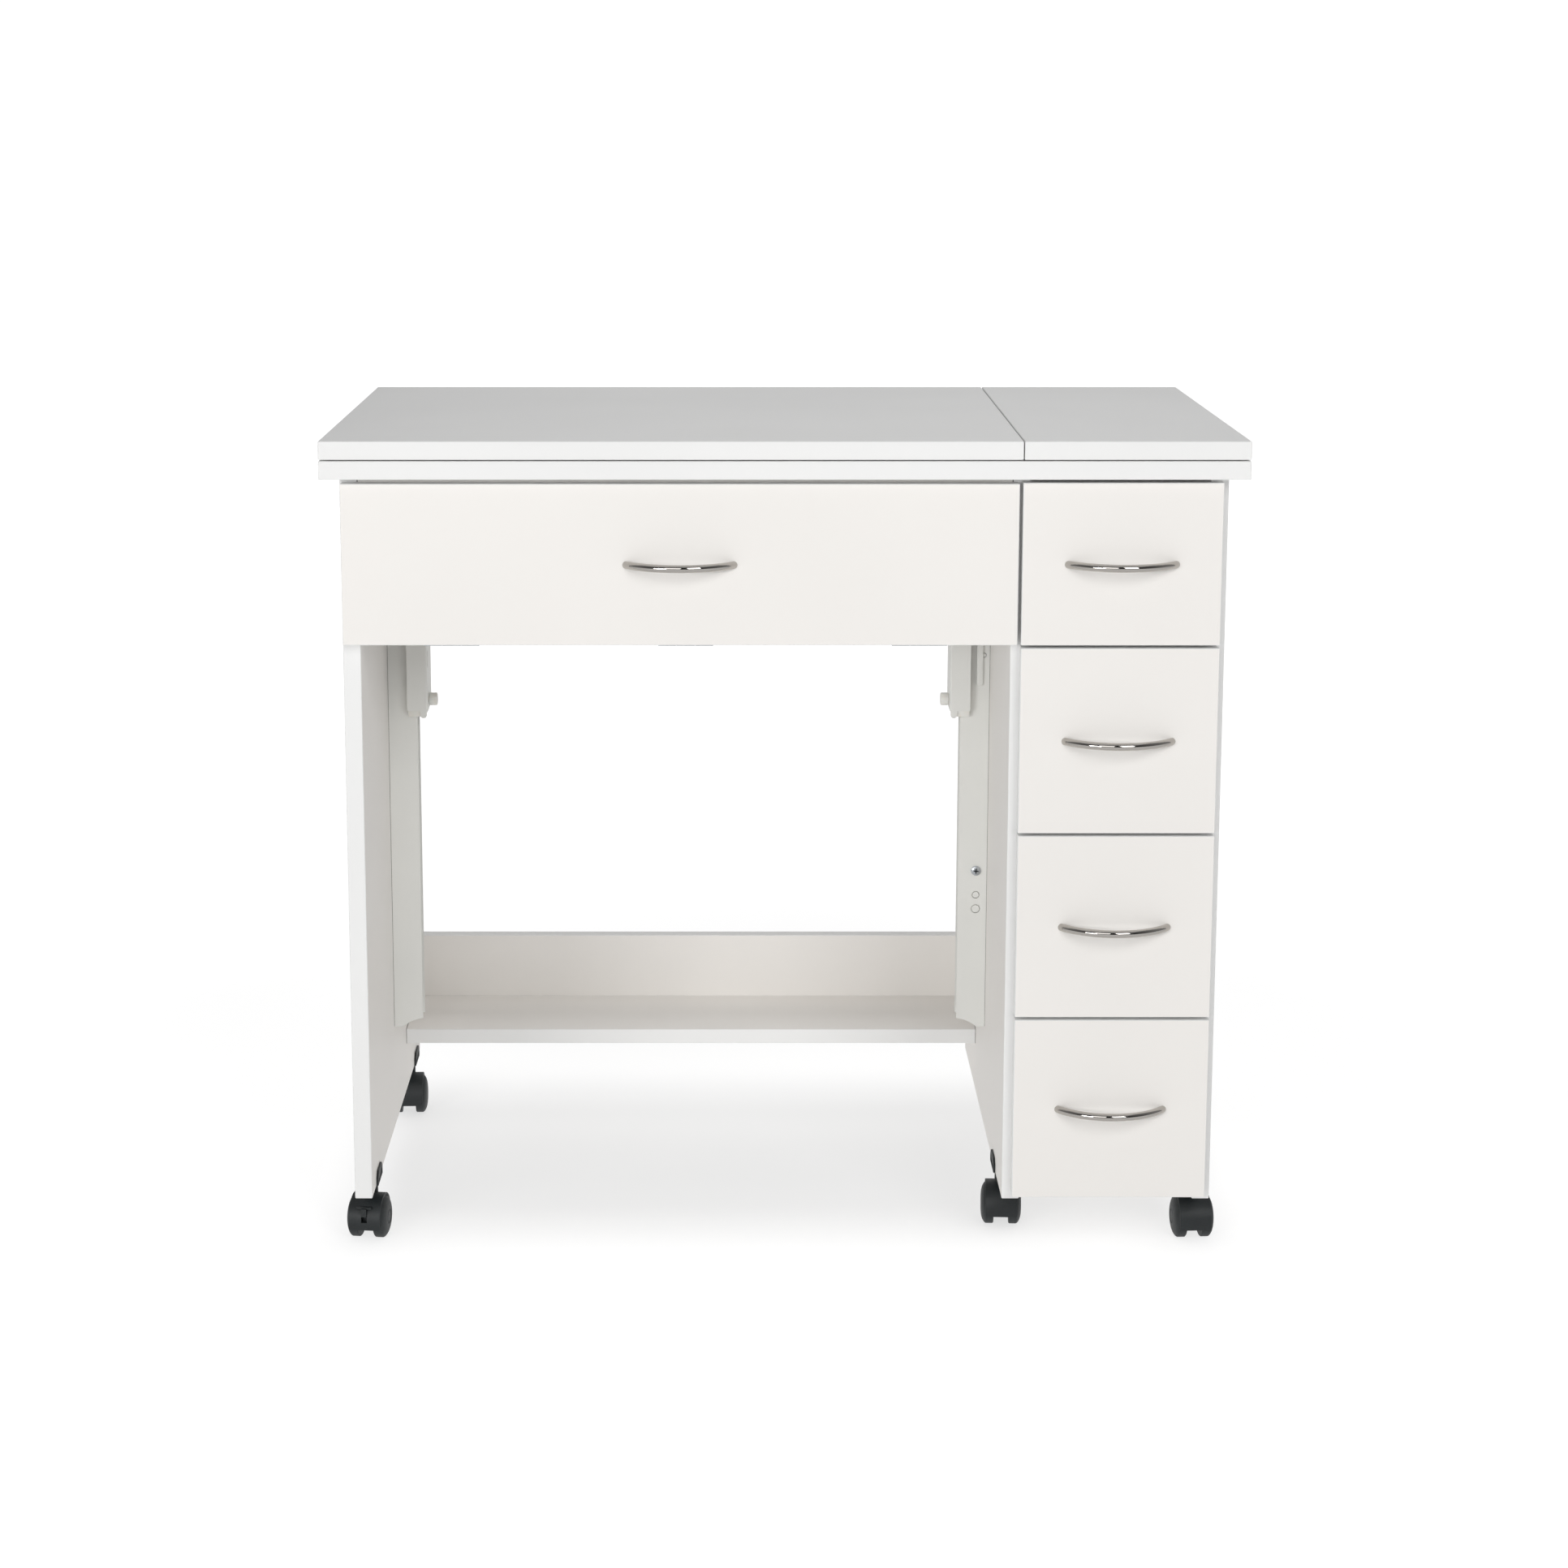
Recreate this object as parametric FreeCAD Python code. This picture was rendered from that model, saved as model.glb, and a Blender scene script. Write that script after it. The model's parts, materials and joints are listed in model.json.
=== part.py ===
import FreeCAD, Part
import math
import os

# White laminated sewing cabinet on casters: two leaves fold out from a fixed top over a machine lift,
# a front drops open, and a pedestal holds four drawers.  Millimetres, +X right, +Y back, +Z up.
# The origin is on the floor, below the middle of the closed cabinet with its handles.

Vector = FreeCAD.Vector
X_AXIS = Vector(1, 0, 0)
Y_AXIS = Vector(0, 1, 0)
Z_AXIS = Vector(0, 0, 1)

# ---------------------------------------------------------------- driving sizes
top_length = 826.0          # closed top, left to right
top_depth = 495.0           # closed top, front to back
table_height = 768.0        # floor to the closed work surface
top_board = 16.5            # thickness of each layer of the top
leaf_gap = 1.2              # air between the leaves and the fixed top
right_leaf_length = 200.6
leaf_seam = 1.0             # gap between the two leaves

side_board = 16.0           # upright panels and rails
shelf_board = 15.0
back_board = 5.0
side_overhang = 15.5        # top beyond the body at each side
front_overhang = 25.5       # top in front of the panels' front edges
back_overhang = 1.5
pedestal_width = 193.0      # drawer pedestal over both its panels
edge_bevel = 0.6            # eased arris of the edge banding
seat_gap = 0.2              # closed front behind which the panel edges lie
running_gap = 0.3           # between pieces that slide past each other

front_board = 16.0          # drop front and drawer fronts
drop_front_height = 145.5
drop_front_below_top = 4.9
drop_front_inset = 1.8      # from the body's left face
drop_front_lap = 4.8        # over the pedestal's inner panel
front_side_gap = 3.2        # between the drop front and the top drawer
front_right_reveal = 6.4
drawer_below_top = 3.9
top_drawer_height = 146.7
drawer_gap = 2.7
drawer_bottom_reveal = 7.0  # panel bottom to the lowest front
drawer_count = 4

# casters
caster_height = 57.0        # floor to the bottom of the panels
wheel_radius = 20.0
wheel_width = 12.0
wheel_dome = ((8.2, 0.0), (10.9, 5.5), (12.0, 13.0))    # rings: from the inner face, in from the tread
wheel_space = 14.5          # between the two wheels' inner faces
wheel_skin = 2.0            # wheel's wall over the end of the axle
caster_trail = 10.0         # axle beside the stem
caster_flats = 24           # flats that stand for the round wheels and hoods
hood_wall = 2.4
hood_width = 30.0
hood_floor_gap = 12.5
hood_boss_depth = 17.0      # block that holds the stem, front to back
hood_boss_top = 47.0
braked_caster = "front_left"
brake_stem_width = 4.8      # T-shaped brake tab on the front of the hood
brake_bar_width = 13.0
brake_bar_height = 1.4
brake_bar_rise = 10.6       # bar above the axle
brake_slot_height = 7.2     # dark slot below the tab
brake_slot_drop = 5.2       # slot's foot below the axle
brake_slot_depth = 5.0
axle_radius = 3.0
bearing_gap = 0.05          # radial, for shafts that turn
stem_radius = 3.5
stem_rise = 8.0             # stem's foot above the axle
stem_length = 74.0          # floor to the stem's tip
stem_fit = 0.1              # radial, stem in its socket
front_caster_inset = 66.0   # stem behind the panel's front edge
middle_caster_inset = 102.0
rear_caster_inset = 32.0    # stem before the panel's back edge
socket_length = 37.0
socket_height = 13.0
socket_lead = 13.0          # socket's middle in front of the stem
socket_proud = 2.0          # off the panel's inner face
socket_depth = 13.0         # into the panel
socket_shoulder = 6.0       # slanted upper corners
socket_rim = 2.0
socket_recess = 0.8
socket_tube_width = 12.0
socket_tube_top = 78.0
socket_end_room = 1.0       # bore above the stem's tip

# bow handles
handle_rod_radius = 3.5
handle_centres = 96.0
handle_rise = 24.0          # face to the middle of the rod at the crown
handle_flats = 8            # flats that stand for the round section
handle_chords = 10          # straight pieces that stand for the bend
handle_spare_turn = 5.0     # degrees of bend past the face, cut off flat

# machine lift
rail_width = 28.6
rail_depth = 22.0
rail_sheet = 1.5
rail_setback = 219.0        # rail's face behind the panels' front edges
rail_foot = 157.0           # floor to the rail's lower end
rail_foot_start = 9.0       # where the cut-away corner begins, from the panel
rail_foot_rise = 8.5
rail_foot_bulge = 1.6       # the corner's curve, off its chord
rail_top_gap = 4.0          # below the fixed top
carriage_width = 19.7
carriage_reach = 39.2       # panel to the carriage's inner face
carriage_depth = 44.0
carriage_sheet = 2.0
carriage_bend = 1.6         # outer radius of the folds
carriage_front_gap = 10.0   # rail's face to the carriage's face
carriage_top_gap = 4.3      # carriage's top below the platform's underside
carriage_length = 172.0
claw_width = 7.0
claw_drop = 7.0
claw_inset = 0.8
claw_round = 2.8
carriage_slot_rise = 42.0
carriage_slot_height = 16.0
carriage_slot_setback = 6.0
carriage_slot_width = 4.0
glide_height = 28.0
glide_drop = 6.0            # below the carriage's end
glide_inset = 0.5
knob_radius = 6.3
knob_length = 8.0
knob_rise = 8.0             # above the carriage's end
platform_depth = 300.0
platform_board = 16.0
platform_side_gap = 1.3     # to each carriage
bed_depth = 80.0            # flat-bed position below the top
cutout_clearance = 3.0
bracket_arm = 42.0
bracket_leg = 54.0
bracket_length = 120.0
lever_width = 6.1
lever_sheet = 2.5
lever_foot = 501.5
lever_pivot_height = 575.0
lever_top = 622.0
lever_reach = 10.0          # panel to the lever's middle
lever_eye_radius = 5.0
lever_nose_reach = 3.0
lever_nose_height = 6.0
lever_hole_radius = 2.4     # crescent of a hole behind the lever
lever_hole_height = 531.5
lever_hole_reach = 5.9
screw_reach = 10.9          # panel to the spring screw and its holes
screw_shank_radius = 2.0
screw_hold = 3.0            # shank behind the rail's sheet
spring_screw_radius = 5.3
spring_screw_head = 2.6
spring_screw_height = 316.0
spring_hole_radius = 3.8
spring_hole_height = 291.6
spring_slot_radius = 4.5
spring_slot_height = 277.4
pivot_screw_radius = 4.2
pivot_screw_head = 2.0

# shelf
shelf_top = 120.0
shelf_depth = 138.0
shelf_rail_height = 66.4

# drawers
drawer_side_board = 12.0
drawer_bottom_board = 4.0
drawer_box_length = 400.0
drawer_box_lift = 22.0      # box above the front's lower edge
drawer_box_headroom = 22.0  # box below the front's upper edge
drawer_bottom_rise = 8.0    # bottom panel above the sides' lower edge
drawer_groove = 5.0
runner_width = 12.7
runner_height = 35.0
runner_sheet = 1.2
runner_side_gap = 3.2       # channel's lips to the drawer's side
runner_lip = 5.0

# hinges
leaf_hinge_radius = 2.0
leaf_hinge_pin = 0.9
leaf_hinge_offset = 0.4     # axis outside the top's edge
leaf_hinge_length = 60.0
leaf_hinge_plate = 22.0
leaf_hinge_sheet = 0.8
leaf_hinge_inset = 75.0     # hinge middle from the top's front and back edges
flap_hinge_radius = 1.6
flap_hinge_pin = 0.7
flap_hinge_back = 1.9       # axis behind the front's inner face
flap_hinge_drop = 2.1       # axis below the front's lower edge
flap_hinge_length = 50.0
flap_hinge_plate = 22.0
flap_hinge_sheet = 1.0
flap_hinge_inset = 82.0     # outer hinges from the ends of the rail
knuckle_gap = 0.3
knuckle_flats = 8           # flats that stand for the round knuckles
bore_flats = 8              # flats that stand for bores that a pin, stem, axle or screw hides
pin_end_cover = 1.0         # pin's ends are riveted over inside the outer knuckles

front_top_rail_height = 50.0
front_hinge_rail_height = 50.0
rear_rail_height = 100.0

# ---------------------------------------------------------------- derived places
handle_reach = handle_rise + handle_rod_radius
front_setback = front_overhang - front_board - seat_gap
handle_nose = handle_reach - front_setback
top_front = handle_nose - (top_depth + handle_nose) / 2
top_back = top_front + top_depth
top_left = -top_length / 2
top_right = top_length / 2
panel_front = top_front + front_overhang
panel_back = top_back - back_overhang
body_left = top_left + side_overhang
body_right = top_right - side_overhang
knee_left = body_left + side_board
knee_right = body_right - pedestal_width
knee_middle = (knee_left + knee_right) / 2
bay_left = knee_right + side_board
bay_right = body_right - side_board
front_inner = panel_front - seat_gap
front_face = front_inner - front_board

leaf_bottom = table_height - top_board
fixed_top_face = leaf_bottom - leaf_gap
fixed_top_bottom = fixed_top_face - top_board
seam_right = top_right - right_leaf_length
seam_left = seam_right - leaf_seam

drop_front_top = fixed_top_bottom - drop_front_below_top
drop_front_bottom = drop_front_top - drop_front_height
drop_front_left = body_left + drop_front_inset
drop_front_right = knee_right + drop_front_lap
drawer_left = drop_front_right + front_side_gap
drawer_right = body_right - front_right_reveal
drawer_top = fixed_top_bottom - drawer_below_top
drawer_floor = caster_height + drawer_bottom_reveal
lower_drawer_space = drawer_top - top_drawer_height - drawer_floor
lower_drawer_height = lower_drawer_space / (drawer_count - 1) - drawer_gap

rail_face = panel_front + rail_setback
rail_back = rail_face + rail_depth
rail_top = fixed_top_bottom - rail_top_gap
carriage_face = rail_face - carriage_front_gap
carriage_back = carriage_face + carriage_depth
platform_top = fixed_top_face - bed_depth
platform_bottom = platform_top - platform_board
carriage_top = platform_bottom - carriage_top_gap
carriage_foot = carriage_top - carriage_length
platform_left = knee_left + carriage_reach + platform_side_gap
platform_right = knee_right - carriage_reach - platform_side_gap
platform_front = (carriage_face + carriage_back - platform_depth) / 2
platform_back = platform_front + platform_depth

leaf_axis_z = fixed_top_face + leaf_gap / 2
flap_axis_y = front_inner + flap_hinge_back
flap_axis_z = drop_front_bottom - flap_hinge_drop
hinge_rail_bottom = flap_axis_z + flap_hinge_radius

front_stem = panel_front + front_caster_inset
middle_stem = panel_front + middle_caster_inset
rear_stem = panel_back - rear_caster_inset
left_panel_middle = body_left + side_board / 2
inner_panel_middle = knee_right + side_board / 2
outer_panel_middle = body_right - side_board / 2

# place of each caster: stem x, stem y, and how far its wheels are turned from pointing forwards
casters = {
    "front_left": (left_panel_middle, front_stem, -8.0),
    "rear_left": (left_panel_middle, rear_stem, 2.0),
    "front_middle": (inner_panel_middle, middle_stem, -3.0),
    "front_right": (outer_panel_middle, front_stem, 4.0),
    "rear_right": (outer_panel_middle, rear_stem, -6.0),
}


# ---------------------------------------------------------------- helpers
def box(x0, x1, y0, y1, z0, z1):
    """Plain block between two corners."""
    return Part.makeBox(x1 - x0, y1 - y0, z1 - z0, Vector(x0, y0, z0))


def board(x0, x1, y0, y1, z0, z1):
    """Edge-banded board with eased edges."""
    block = box(x0, x1, y0, y1, z0, z1)
    return block.makeChamfer(edge_bevel, block.Edges)


def rod(radius, length, start, direction):
    """Round bar from a start point."""
    return Part.makeCylinder(radius, length, start, direction)


def flat_rod(radius, length, start, direction, flats):
    """Bar of flat facets, for a small round piece that is repeated."""
    side = direction.cross(X_AXIS if direction == Z_AXIS else Z_AXIS)
    up = side.cross(direction)
    turn = 2 * math.pi / flats
    rim = [start + side * (radius * math.cos(k * turn)) + up * (radius * math.sin(k * turn))
           for k in range(flats)]
    return prism(rim, direction * length)


def flat_bore(radius, length, start, direction):
    """Bore of flat facets that clears a round bar of the radius."""
    return flat_rod(radius / math.cos(math.pi / bore_flats), length, start, direction, bore_flats)


def prism(points, travel):
    """Closed outline of points, pushed along a vector."""
    outline = Part.makePolygon(points + points[:1])
    return Part.Face(outline).extrude(travel)


def across_knee(shape):
    """Mirror image on the other side of the knee space."""
    return shape.mirror(Vector(knee_middle, 0, 0), X_AXIS)


def save(node, *solids):
    """One STEP file for each named node."""
    shape = solids[0] if len(solids) == 1 else Part.makeCompound(list(solids))
    shape.exportStep(os.path.join("parts", node + ".step"))


# ---------------------------------------------------------------- casters
def at_caster(shape, name):
    """Move a caster piece from its own stem axis to its place below the cabinet."""
    x, y, turn = casters[name]
    placed = shape.copy()
    placed.rotate(Vector(0, 0, 0), Z_AXIS, turn)
    placed.translate(Vector(x, y, 0))
    return placed


def barrel(rings):
    """Solid of flat facets through rings of (x, radius) about the axle."""
    turn = 2 * math.pi / caster_flats
    rims = []
    for x, radius in rings:
        around = [(radius * math.cos(k * turn), radius * math.sin(k * turn)) for k in range(caster_flats)]
        rims.append([Vector(x, y - caster_trail, z + wheel_radius) for y, z in around])
    outlines = [rims[0][::-1], rims[-1]]
    for near, far in zip(rims, rims[1:]):
        outlines += [[near[k - 1], near[k], far[k], far[k - 1]] for k in range(caster_flats)]
    skin = Part.Compound([Part.Face(Part.makePolygon(points + points[:1])) for points in outlines])
    skin.sewShape()
    return Part.makeSolid(skin.Shells[0])


def caster_hood():
    """Moulded hood: a barrel shell over both wheels, a web between them and a boss for the stem."""
    shell_radius = wheel_radius + hood_wall
    web = wheel_space - 2 * running_gap
    end = hood_width / 2
    hood = barrel([(-end, shell_radius), (end, shell_radius)])
    hood = hood.fuse(box(-web / 2, web / 2, -hood_boss_depth / 2, hood_boss_depth / 2,
                         wheel_radius, hood_boss_top))
    bay_radius = (wheel_radius + running_gap) / math.cos(math.pi / caster_flats)
    wheel_bay = barrel([(web / 2, bay_radius), (hood_width, bay_radius)])
    hood = hood.cut(wheel_bay)
    hood = hood.cut(wheel_bay.mirror(Vector(0, 0, 0), X_AXIS))
    reach = 2 * shell_radius + caster_trail
    hood = hood.cut(box(-reach, reach, -reach, reach, -reach, hood_floor_gap))
    axle_start = Vector(-end, -caster_trail, wheel_radius)
    stem_foot = Vector(0, 0, wheel_radius + stem_rise)
    axle_bore = flat_bore(axle_radius + bearing_gap, hood_width, axle_start, X_AXIS)
    stem_bore = flat_bore(stem_radius, hood_boss_top, stem_foot, Z_AXIS)
    return hood.cut(axle_bore).cut(stem_bore)


def brake_tab(hood):
    """The same hood with a T-shaped brake tab that stands proud of the barrel, over its slot."""
    face = -caster_trail - wheel_radius - hood_wall
    back = face + brake_slot_depth
    slot_foot = wheel_radius - brake_slot_drop
    slot_head = slot_foot + brake_slot_height
    bar_foot = wheel_radius + brake_bar_rise
    stem_half = brake_stem_width / 2
    bar_half = brake_bar_width / 2
    slotted = hood.cut(box(-stem_half, stem_half, face, back, slot_foot, slot_head))
    stem = box(-stem_half, stem_half, face, back, slot_head, bar_foot)
    bar = box(-bar_half, bar_half, face, back, bar_foot, bar_foot + brake_bar_height)
    return slotted.fuse(stem).fuse(bar)


def caster_stem():
    """Steel stem pressed into the hood."""
    foot = wheel_radius + stem_rise
    return rod(stem_radius, stem_length - foot, Vector(0, 0, foot), Z_AXIS)


def caster_axle():
    """Steel axle through the web and into both wheels."""
    half = wheel_space / 2 + wheel_width - wheel_skin - running_gap
    return rod(axle_radius, 2 * half, Vector(-half, -caster_trail, wheel_radius), X_AXIS)


def caster_wheel():
    """Right wheel of the pair, domed outside, with a blind bore for the end of the axle."""
    inner = wheel_space / 2
    rings = [(inner, wheel_radius)]
    rings += [(inner + out, wheel_radius - inset) for out, inset in wheel_dome]
    wheel = barrel(rings)
    hub = Vector(inner, -caster_trail, wheel_radius)
    return wheel.cut(flat_bore(axle_radius + bearing_gap, wheel_width - wheel_skin, hub, X_AXIS))


def socket(middle_x, stem_y, inward):
    """Black socket let into a panel's bottom edge, and the pocket it fills: an arched plate that stands
    proud of the inner side and a square tube for the stem."""
    face_x = middle_x + inward * (side_board / 2 + socket_proud)
    middle_y = stem_y - socket_lead
    half = socket_length / 2
    head = caster_height + socket_height
    shoulder = head - socket_shoulder
    outline = [Vector(face_x, middle_y + y, z) for y, z in (
        (-half, caster_height), (-half, shoulder), (-half + socket_shoulder, head),
        (half - socket_shoulder, head), (half, shoulder), (half, caster_height))]
    arch = prism(outline, Vector(-inward * (socket_proud + socket_depth), 0, 0))
    tube = socket_tube_width / 2
    pocket = arch.fuse(box(middle_x - tube, middle_x + tube, stem_y - tube, stem_y + tube,
                           caster_height, socket_tube_top))
    foot = Vector(middle_x, stem_y, caster_height)
    recess_x = sorted((face_x, face_x - inward * socket_recess))
    recess = box(recess_x[0], recess_x[1], middle_y - half + socket_rim, middle_y + half - socket_rim,
                 caster_height + socket_rim, shoulder)
    bore = flat_bore(stem_radius + stem_fit, stem_length + socket_end_room - caster_height, foot, Z_AXIS)
    return pocket, pocket.cut(recess).cut(bore)


def make_casters():
    """Twin-wheel casters, each with a swivelling hood and a turning pair of wheels."""
    plain_hood = caster_hood()
    braked_hood = brake_tab(plain_hood)
    stem = caster_stem()
    axle = caster_axle()
    right_wheel = caster_wheel()
    left_wheel = right_wheel.mirror(Vector(0, 0, 0), X_AXIS)
    for name in casters:
        hood = braked_hood if name == braked_caster else plain_hood
        save(name + "_caster_hood", at_caster(hood, name), at_caster(stem, name), at_caster(axle, name))
        save(name + "_caster_wheels", at_caster(left_wheel, name), at_caster(right_wheel, name))


# ---------------------------------------------------------------- body
def pocketed(panel, pockets):
    """The same board, cut out for the caster sockets that reach into it."""
    for pocket in pockets:
        panel = panel.cut(pocket)
    return panel


def make_body():
    """Panels, shelf and rails that carry the top."""
    seats = [socket(x, y, 1 if x < knee_middle else -1) for x, y, turn in casters.values()]
    pockets = [pocket for pocket, piece in seats]
    save("caster_sockets", *[piece for pocket, piece in seats])
    for node, left in (
        ("left_side_panel", body_left),
        ("pedestal_inner_panel", knee_right),
        ("pedestal_outer_panel", bay_right),
    ):
        save(node, pocketed(board(left, left + side_board, panel_front, panel_back,
                                  caster_height, fixed_top_bottom), pockets))

    pedestal_floor = drawer_floor + shelf_board
    save("pedestal_bottom_panel", pocketed(board(bay_left, bay_right, panel_front, panel_back,
                                                 drawer_floor, pedestal_floor), pockets))
    save("pedestal_back_panel", box(bay_left, bay_right, panel_back - back_board, panel_back,
                                    pedestal_floor, fixed_top_bottom))
    shelf_back = panel_back - side_board
    save("foot_shelf", board(knee_left, knee_right, panel_back - shelf_depth, shelf_back,
                             shelf_top - shelf_board, shelf_top))
    save("shelf_back_rail", board(knee_left, knee_right, shelf_back, panel_back,
                                  shelf_top - shelf_board, shelf_top + shelf_rail_height))
    save("rear_top_rail", board(knee_left, knee_right, panel_back - side_board, panel_back,
                                fixed_top_bottom - rear_rail_height, fixed_top_bottom))
    save("front_top_rail", board(knee_left, knee_right, panel_front, panel_front + side_board,
                                 fixed_top_bottom - front_top_rail_height, fixed_top_bottom))
    save("front_hinge_rail", board(knee_left, knee_right, panel_front, panel_front + side_board,
                                   hinge_rail_bottom, hinge_rail_bottom + front_hinge_rail_height))


# ---------------------------------------------------------------- top
def leaf_hinge(middle_y, side):
    """Hinge on the left (side -1) or right (side 1) edge of the top: fixed plate with its riveted pin,
    moving plate, and the beds cut for them."""
    axis_x = side * (top_length / 2 + leaf_hinge_offset)
    start = middle_y - leaf_hinge_length / 2
    end = start + leaf_hinge_length
    third = leaf_hinge_length / 3
    low_x, high_x = sorted((axis_x - side * leaf_hinge_pin, axis_x - side * leaf_hinge_plate))
    room_x = sorted((axis_x - side * (leaf_hinge_radius + knuckle_gap), axis_x + side * leaf_hinge_radius))
    inset = leaf_gap / 2 - leaf_hinge_sheet / 2
    fixed_bed = box(low_x, high_x, start, end, leaf_axis_z - inset - leaf_hinge_sheet, leaf_axis_z - inset)
    leaf_bed = box(low_x, high_x, start, end, leaf_axis_z + inset, leaf_axis_z + inset + leaf_hinge_sheet)

    def knuckle(y0, y1):
        return flat_rod(leaf_hinge_radius, y1 - y0, Vector(axis_x, y0, leaf_axis_z), Y_AXIS, knuckle_flats)

    def room(y0, y1):
        reach = leaf_hinge_radius + knuckle_gap
        return box(room_x[0], room_x[1], y0, y1, leaf_axis_z - reach, leaf_axis_z + reach)

    bore_start = Vector(axis_x, start, leaf_axis_z)
    pin_start = bore_start + Y_AXIS * pin_end_cover
    pin = rod(leaf_hinge_pin, leaf_hinge_length - 2 * pin_end_cover, pin_start, Y_AXIS)
    pin_room = flat_bore(leaf_hinge_pin + bearing_gap, leaf_hinge_length, bore_start, Y_AXIS)
    fixed = fixed_bed.cut(room(start + third - knuckle_gap, end - third + knuckle_gap))
    fixed = fixed.fuse(knuckle(start, start + third - knuckle_gap))
    fixed = fixed.fuse(knuckle(end - third + knuckle_gap, end)).fuse(pin)
    moving = leaf_bed.cut(room(start, start + third)).cut(room(end - third, end))
    moving = moving.fuse(knuckle(start + third, end - third)).cut(pin_room)
    return fixed, moving, fixed_bed, leaf_bed, room(start - knuckle_gap, end + knuckle_gap)


def make_top():
    """Fixed top with the machine cut-out, two fold-over leaves and their hinges."""
    fixed = board(top_left, top_right, top_front, top_back, fixed_top_bottom, fixed_top_face)
    fixed = fixed.cut(box(platform_left - cutout_clearance, platform_right + cutout_clearance,
                          platform_front - cutout_clearance, platform_back + cutout_clearance,
                          fixed_top_bottom, fixed_top_face))
    leaves = {
        "left_leaf": board(top_left, seam_left, top_front, top_back, leaf_bottom, table_height),
        "right_leaf": board(seam_right, top_right, top_front, top_back, leaf_bottom, table_height),
    }
    fixed_hinges = []
    for name, side in (("left_leaf", -1), ("right_leaf", 1)):
        moving = []
        leaf = leaves[name]
        for middle_y in (top_front + leaf_hinge_inset, top_back - leaf_hinge_inset):
            fixed_plate, moving_plate, fixed_bed, leaf_bed, room = leaf_hinge(middle_y, side)
            fixed = fixed.cut(fixed_bed).cut(room)
            leaf = leaf.cut(leaf_bed).cut(room)
            fixed_hinges.append(fixed_plate)
            moving.append(moving_plate)
        save(name + "_panel", leaf)
        save(name + "_hinge_plates", *moving)
    save("fixed_top", fixed)
    save("fixed_top_hinge_plates", *fixed_hinges)


# ---------------------------------------------------------------- handles and fronts
def bow_handle(middle_x, middle_z):
    """Rod bent to a bow, in straight facets, and cut flat where it seats on the front."""
    half = handle_centres / 2
    bend = (half ** 2 + handle_rise ** 2) / (2 * handle_rise)
    crown = Vector(middle_x, front_face - handle_rise, middle_z)
    centre = crown + Y_AXIS * bend
    step = 2 * math.pi / handle_flats
    rim = [(handle_rod_radius * math.cos((k + 0.5) * step), handle_rod_radius * math.sin((k + 0.5) * step))
           for k in range(handle_flats)]
    outline = [crown + Vector(0, y, z) for y, z in rim]
    turn = math.degrees(math.asin(half / bend)) + handle_spare_turn
    sections = []
    for k in range(handle_chords + 1):
        section = Part.makePolygon(outline + outline[:1])
        section.rotate(centre, Z_AXIS, turn * (2 * k / handle_chords - 1))
        sections.append(section)
    bow = Part.makeLoft(sections, True, True)
    reach = bend + handle_rod_radius
    return bow.cut(box(middle_x - reach, middle_x + reach, front_face, front_face + reach,
                       middle_z - reach, middle_z + reach))


def flap_hinge(middle_x):
    """Slim hinge of the drop front: fixed plate with its riveted pin, moving plate, and the moving
    plate's bed."""
    start = middle_x - flap_hinge_length / 2
    end = start + flap_hinge_length
    third = flap_hinge_length / 3
    mid_start, mid_end = start + third, end - third
    y, z, radius = flap_axis_y, flap_axis_z, flap_hinge_radius
    room = radius + knuckle_gap
    fixed = box(start, end, y, y + flap_hinge_plate / 2, z + radius - flap_hinge_sheet, z + radius)
    fixed = fixed.cut(box(mid_start - knuckle_gap, mid_end + knuckle_gap,
                          y - room, y + room, z - room, z + room))
    for x0, x1 in ((start, mid_start - knuckle_gap), (mid_end + knuckle_gap, end)):
        fixed = fixed.fuse(flat_rod(radius, x1 - x0, Vector(x0, y, z), X_AXIS, knuckle_flats))
    pin_start = Vector(start + pin_end_cover, y, z)
    pin = rod(flap_hinge_pin, flap_hinge_length - 2 * pin_end_cover, pin_start, X_AXIS)
    skin = front_inner - flap_hinge_sheet
    bed = box(start, end, skin, front_inner, drop_front_bottom, drop_front_bottom + flap_hinge_plate)
    tongue = box(mid_start, mid_end, skin, front_inner, z, drop_front_bottom)
    web = box(mid_start, mid_end, skin, y, z - flap_hinge_sheet / 2, z + flap_hinge_sheet / 2)
    knuckle = flat_rod(radius, third, Vector(mid_start, y, z), X_AXIS, knuckle_flats)
    moving = bed.fuse(tongue).fuse(web).fuse(knuckle)
    bore_start = Vector(start, y, z)
    moving = moving.cut(flat_bore(flap_hinge_pin + bearing_gap, flap_hinge_length, bore_start, X_AXIS))
    return fixed.fuse(pin), moving, bed


def make_drop_front():
    """Wide front that swings down on three hinges along its lower edge."""
    front = board(drop_front_left, drop_front_right, front_face, front_inner,
                  drop_front_bottom, drop_front_top)
    middles = (knee_left + flap_hinge_inset, knee_middle, knee_right - flap_hinge_inset)
    fixed_pieces = []
    moving_pieces = []
    for middle_x in middles:
        fixed, moving, bed = flap_hinge(middle_x)
        front = front.cut(bed)
        fixed_pieces.append(fixed)
        moving_pieces.append(moving)
    save("drop_front_panel", front)
    save("drop_front_hinge_plates", *moving_pieces)
    save("hinge_rail_plates", *fixed_pieces)
    handle_x = (drop_front_left + drop_front_right) / 2
    handle_z = (drop_front_bottom + drop_front_top) / 2
    save("drop_front_handle", bow_handle(handle_x, handle_z))


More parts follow.
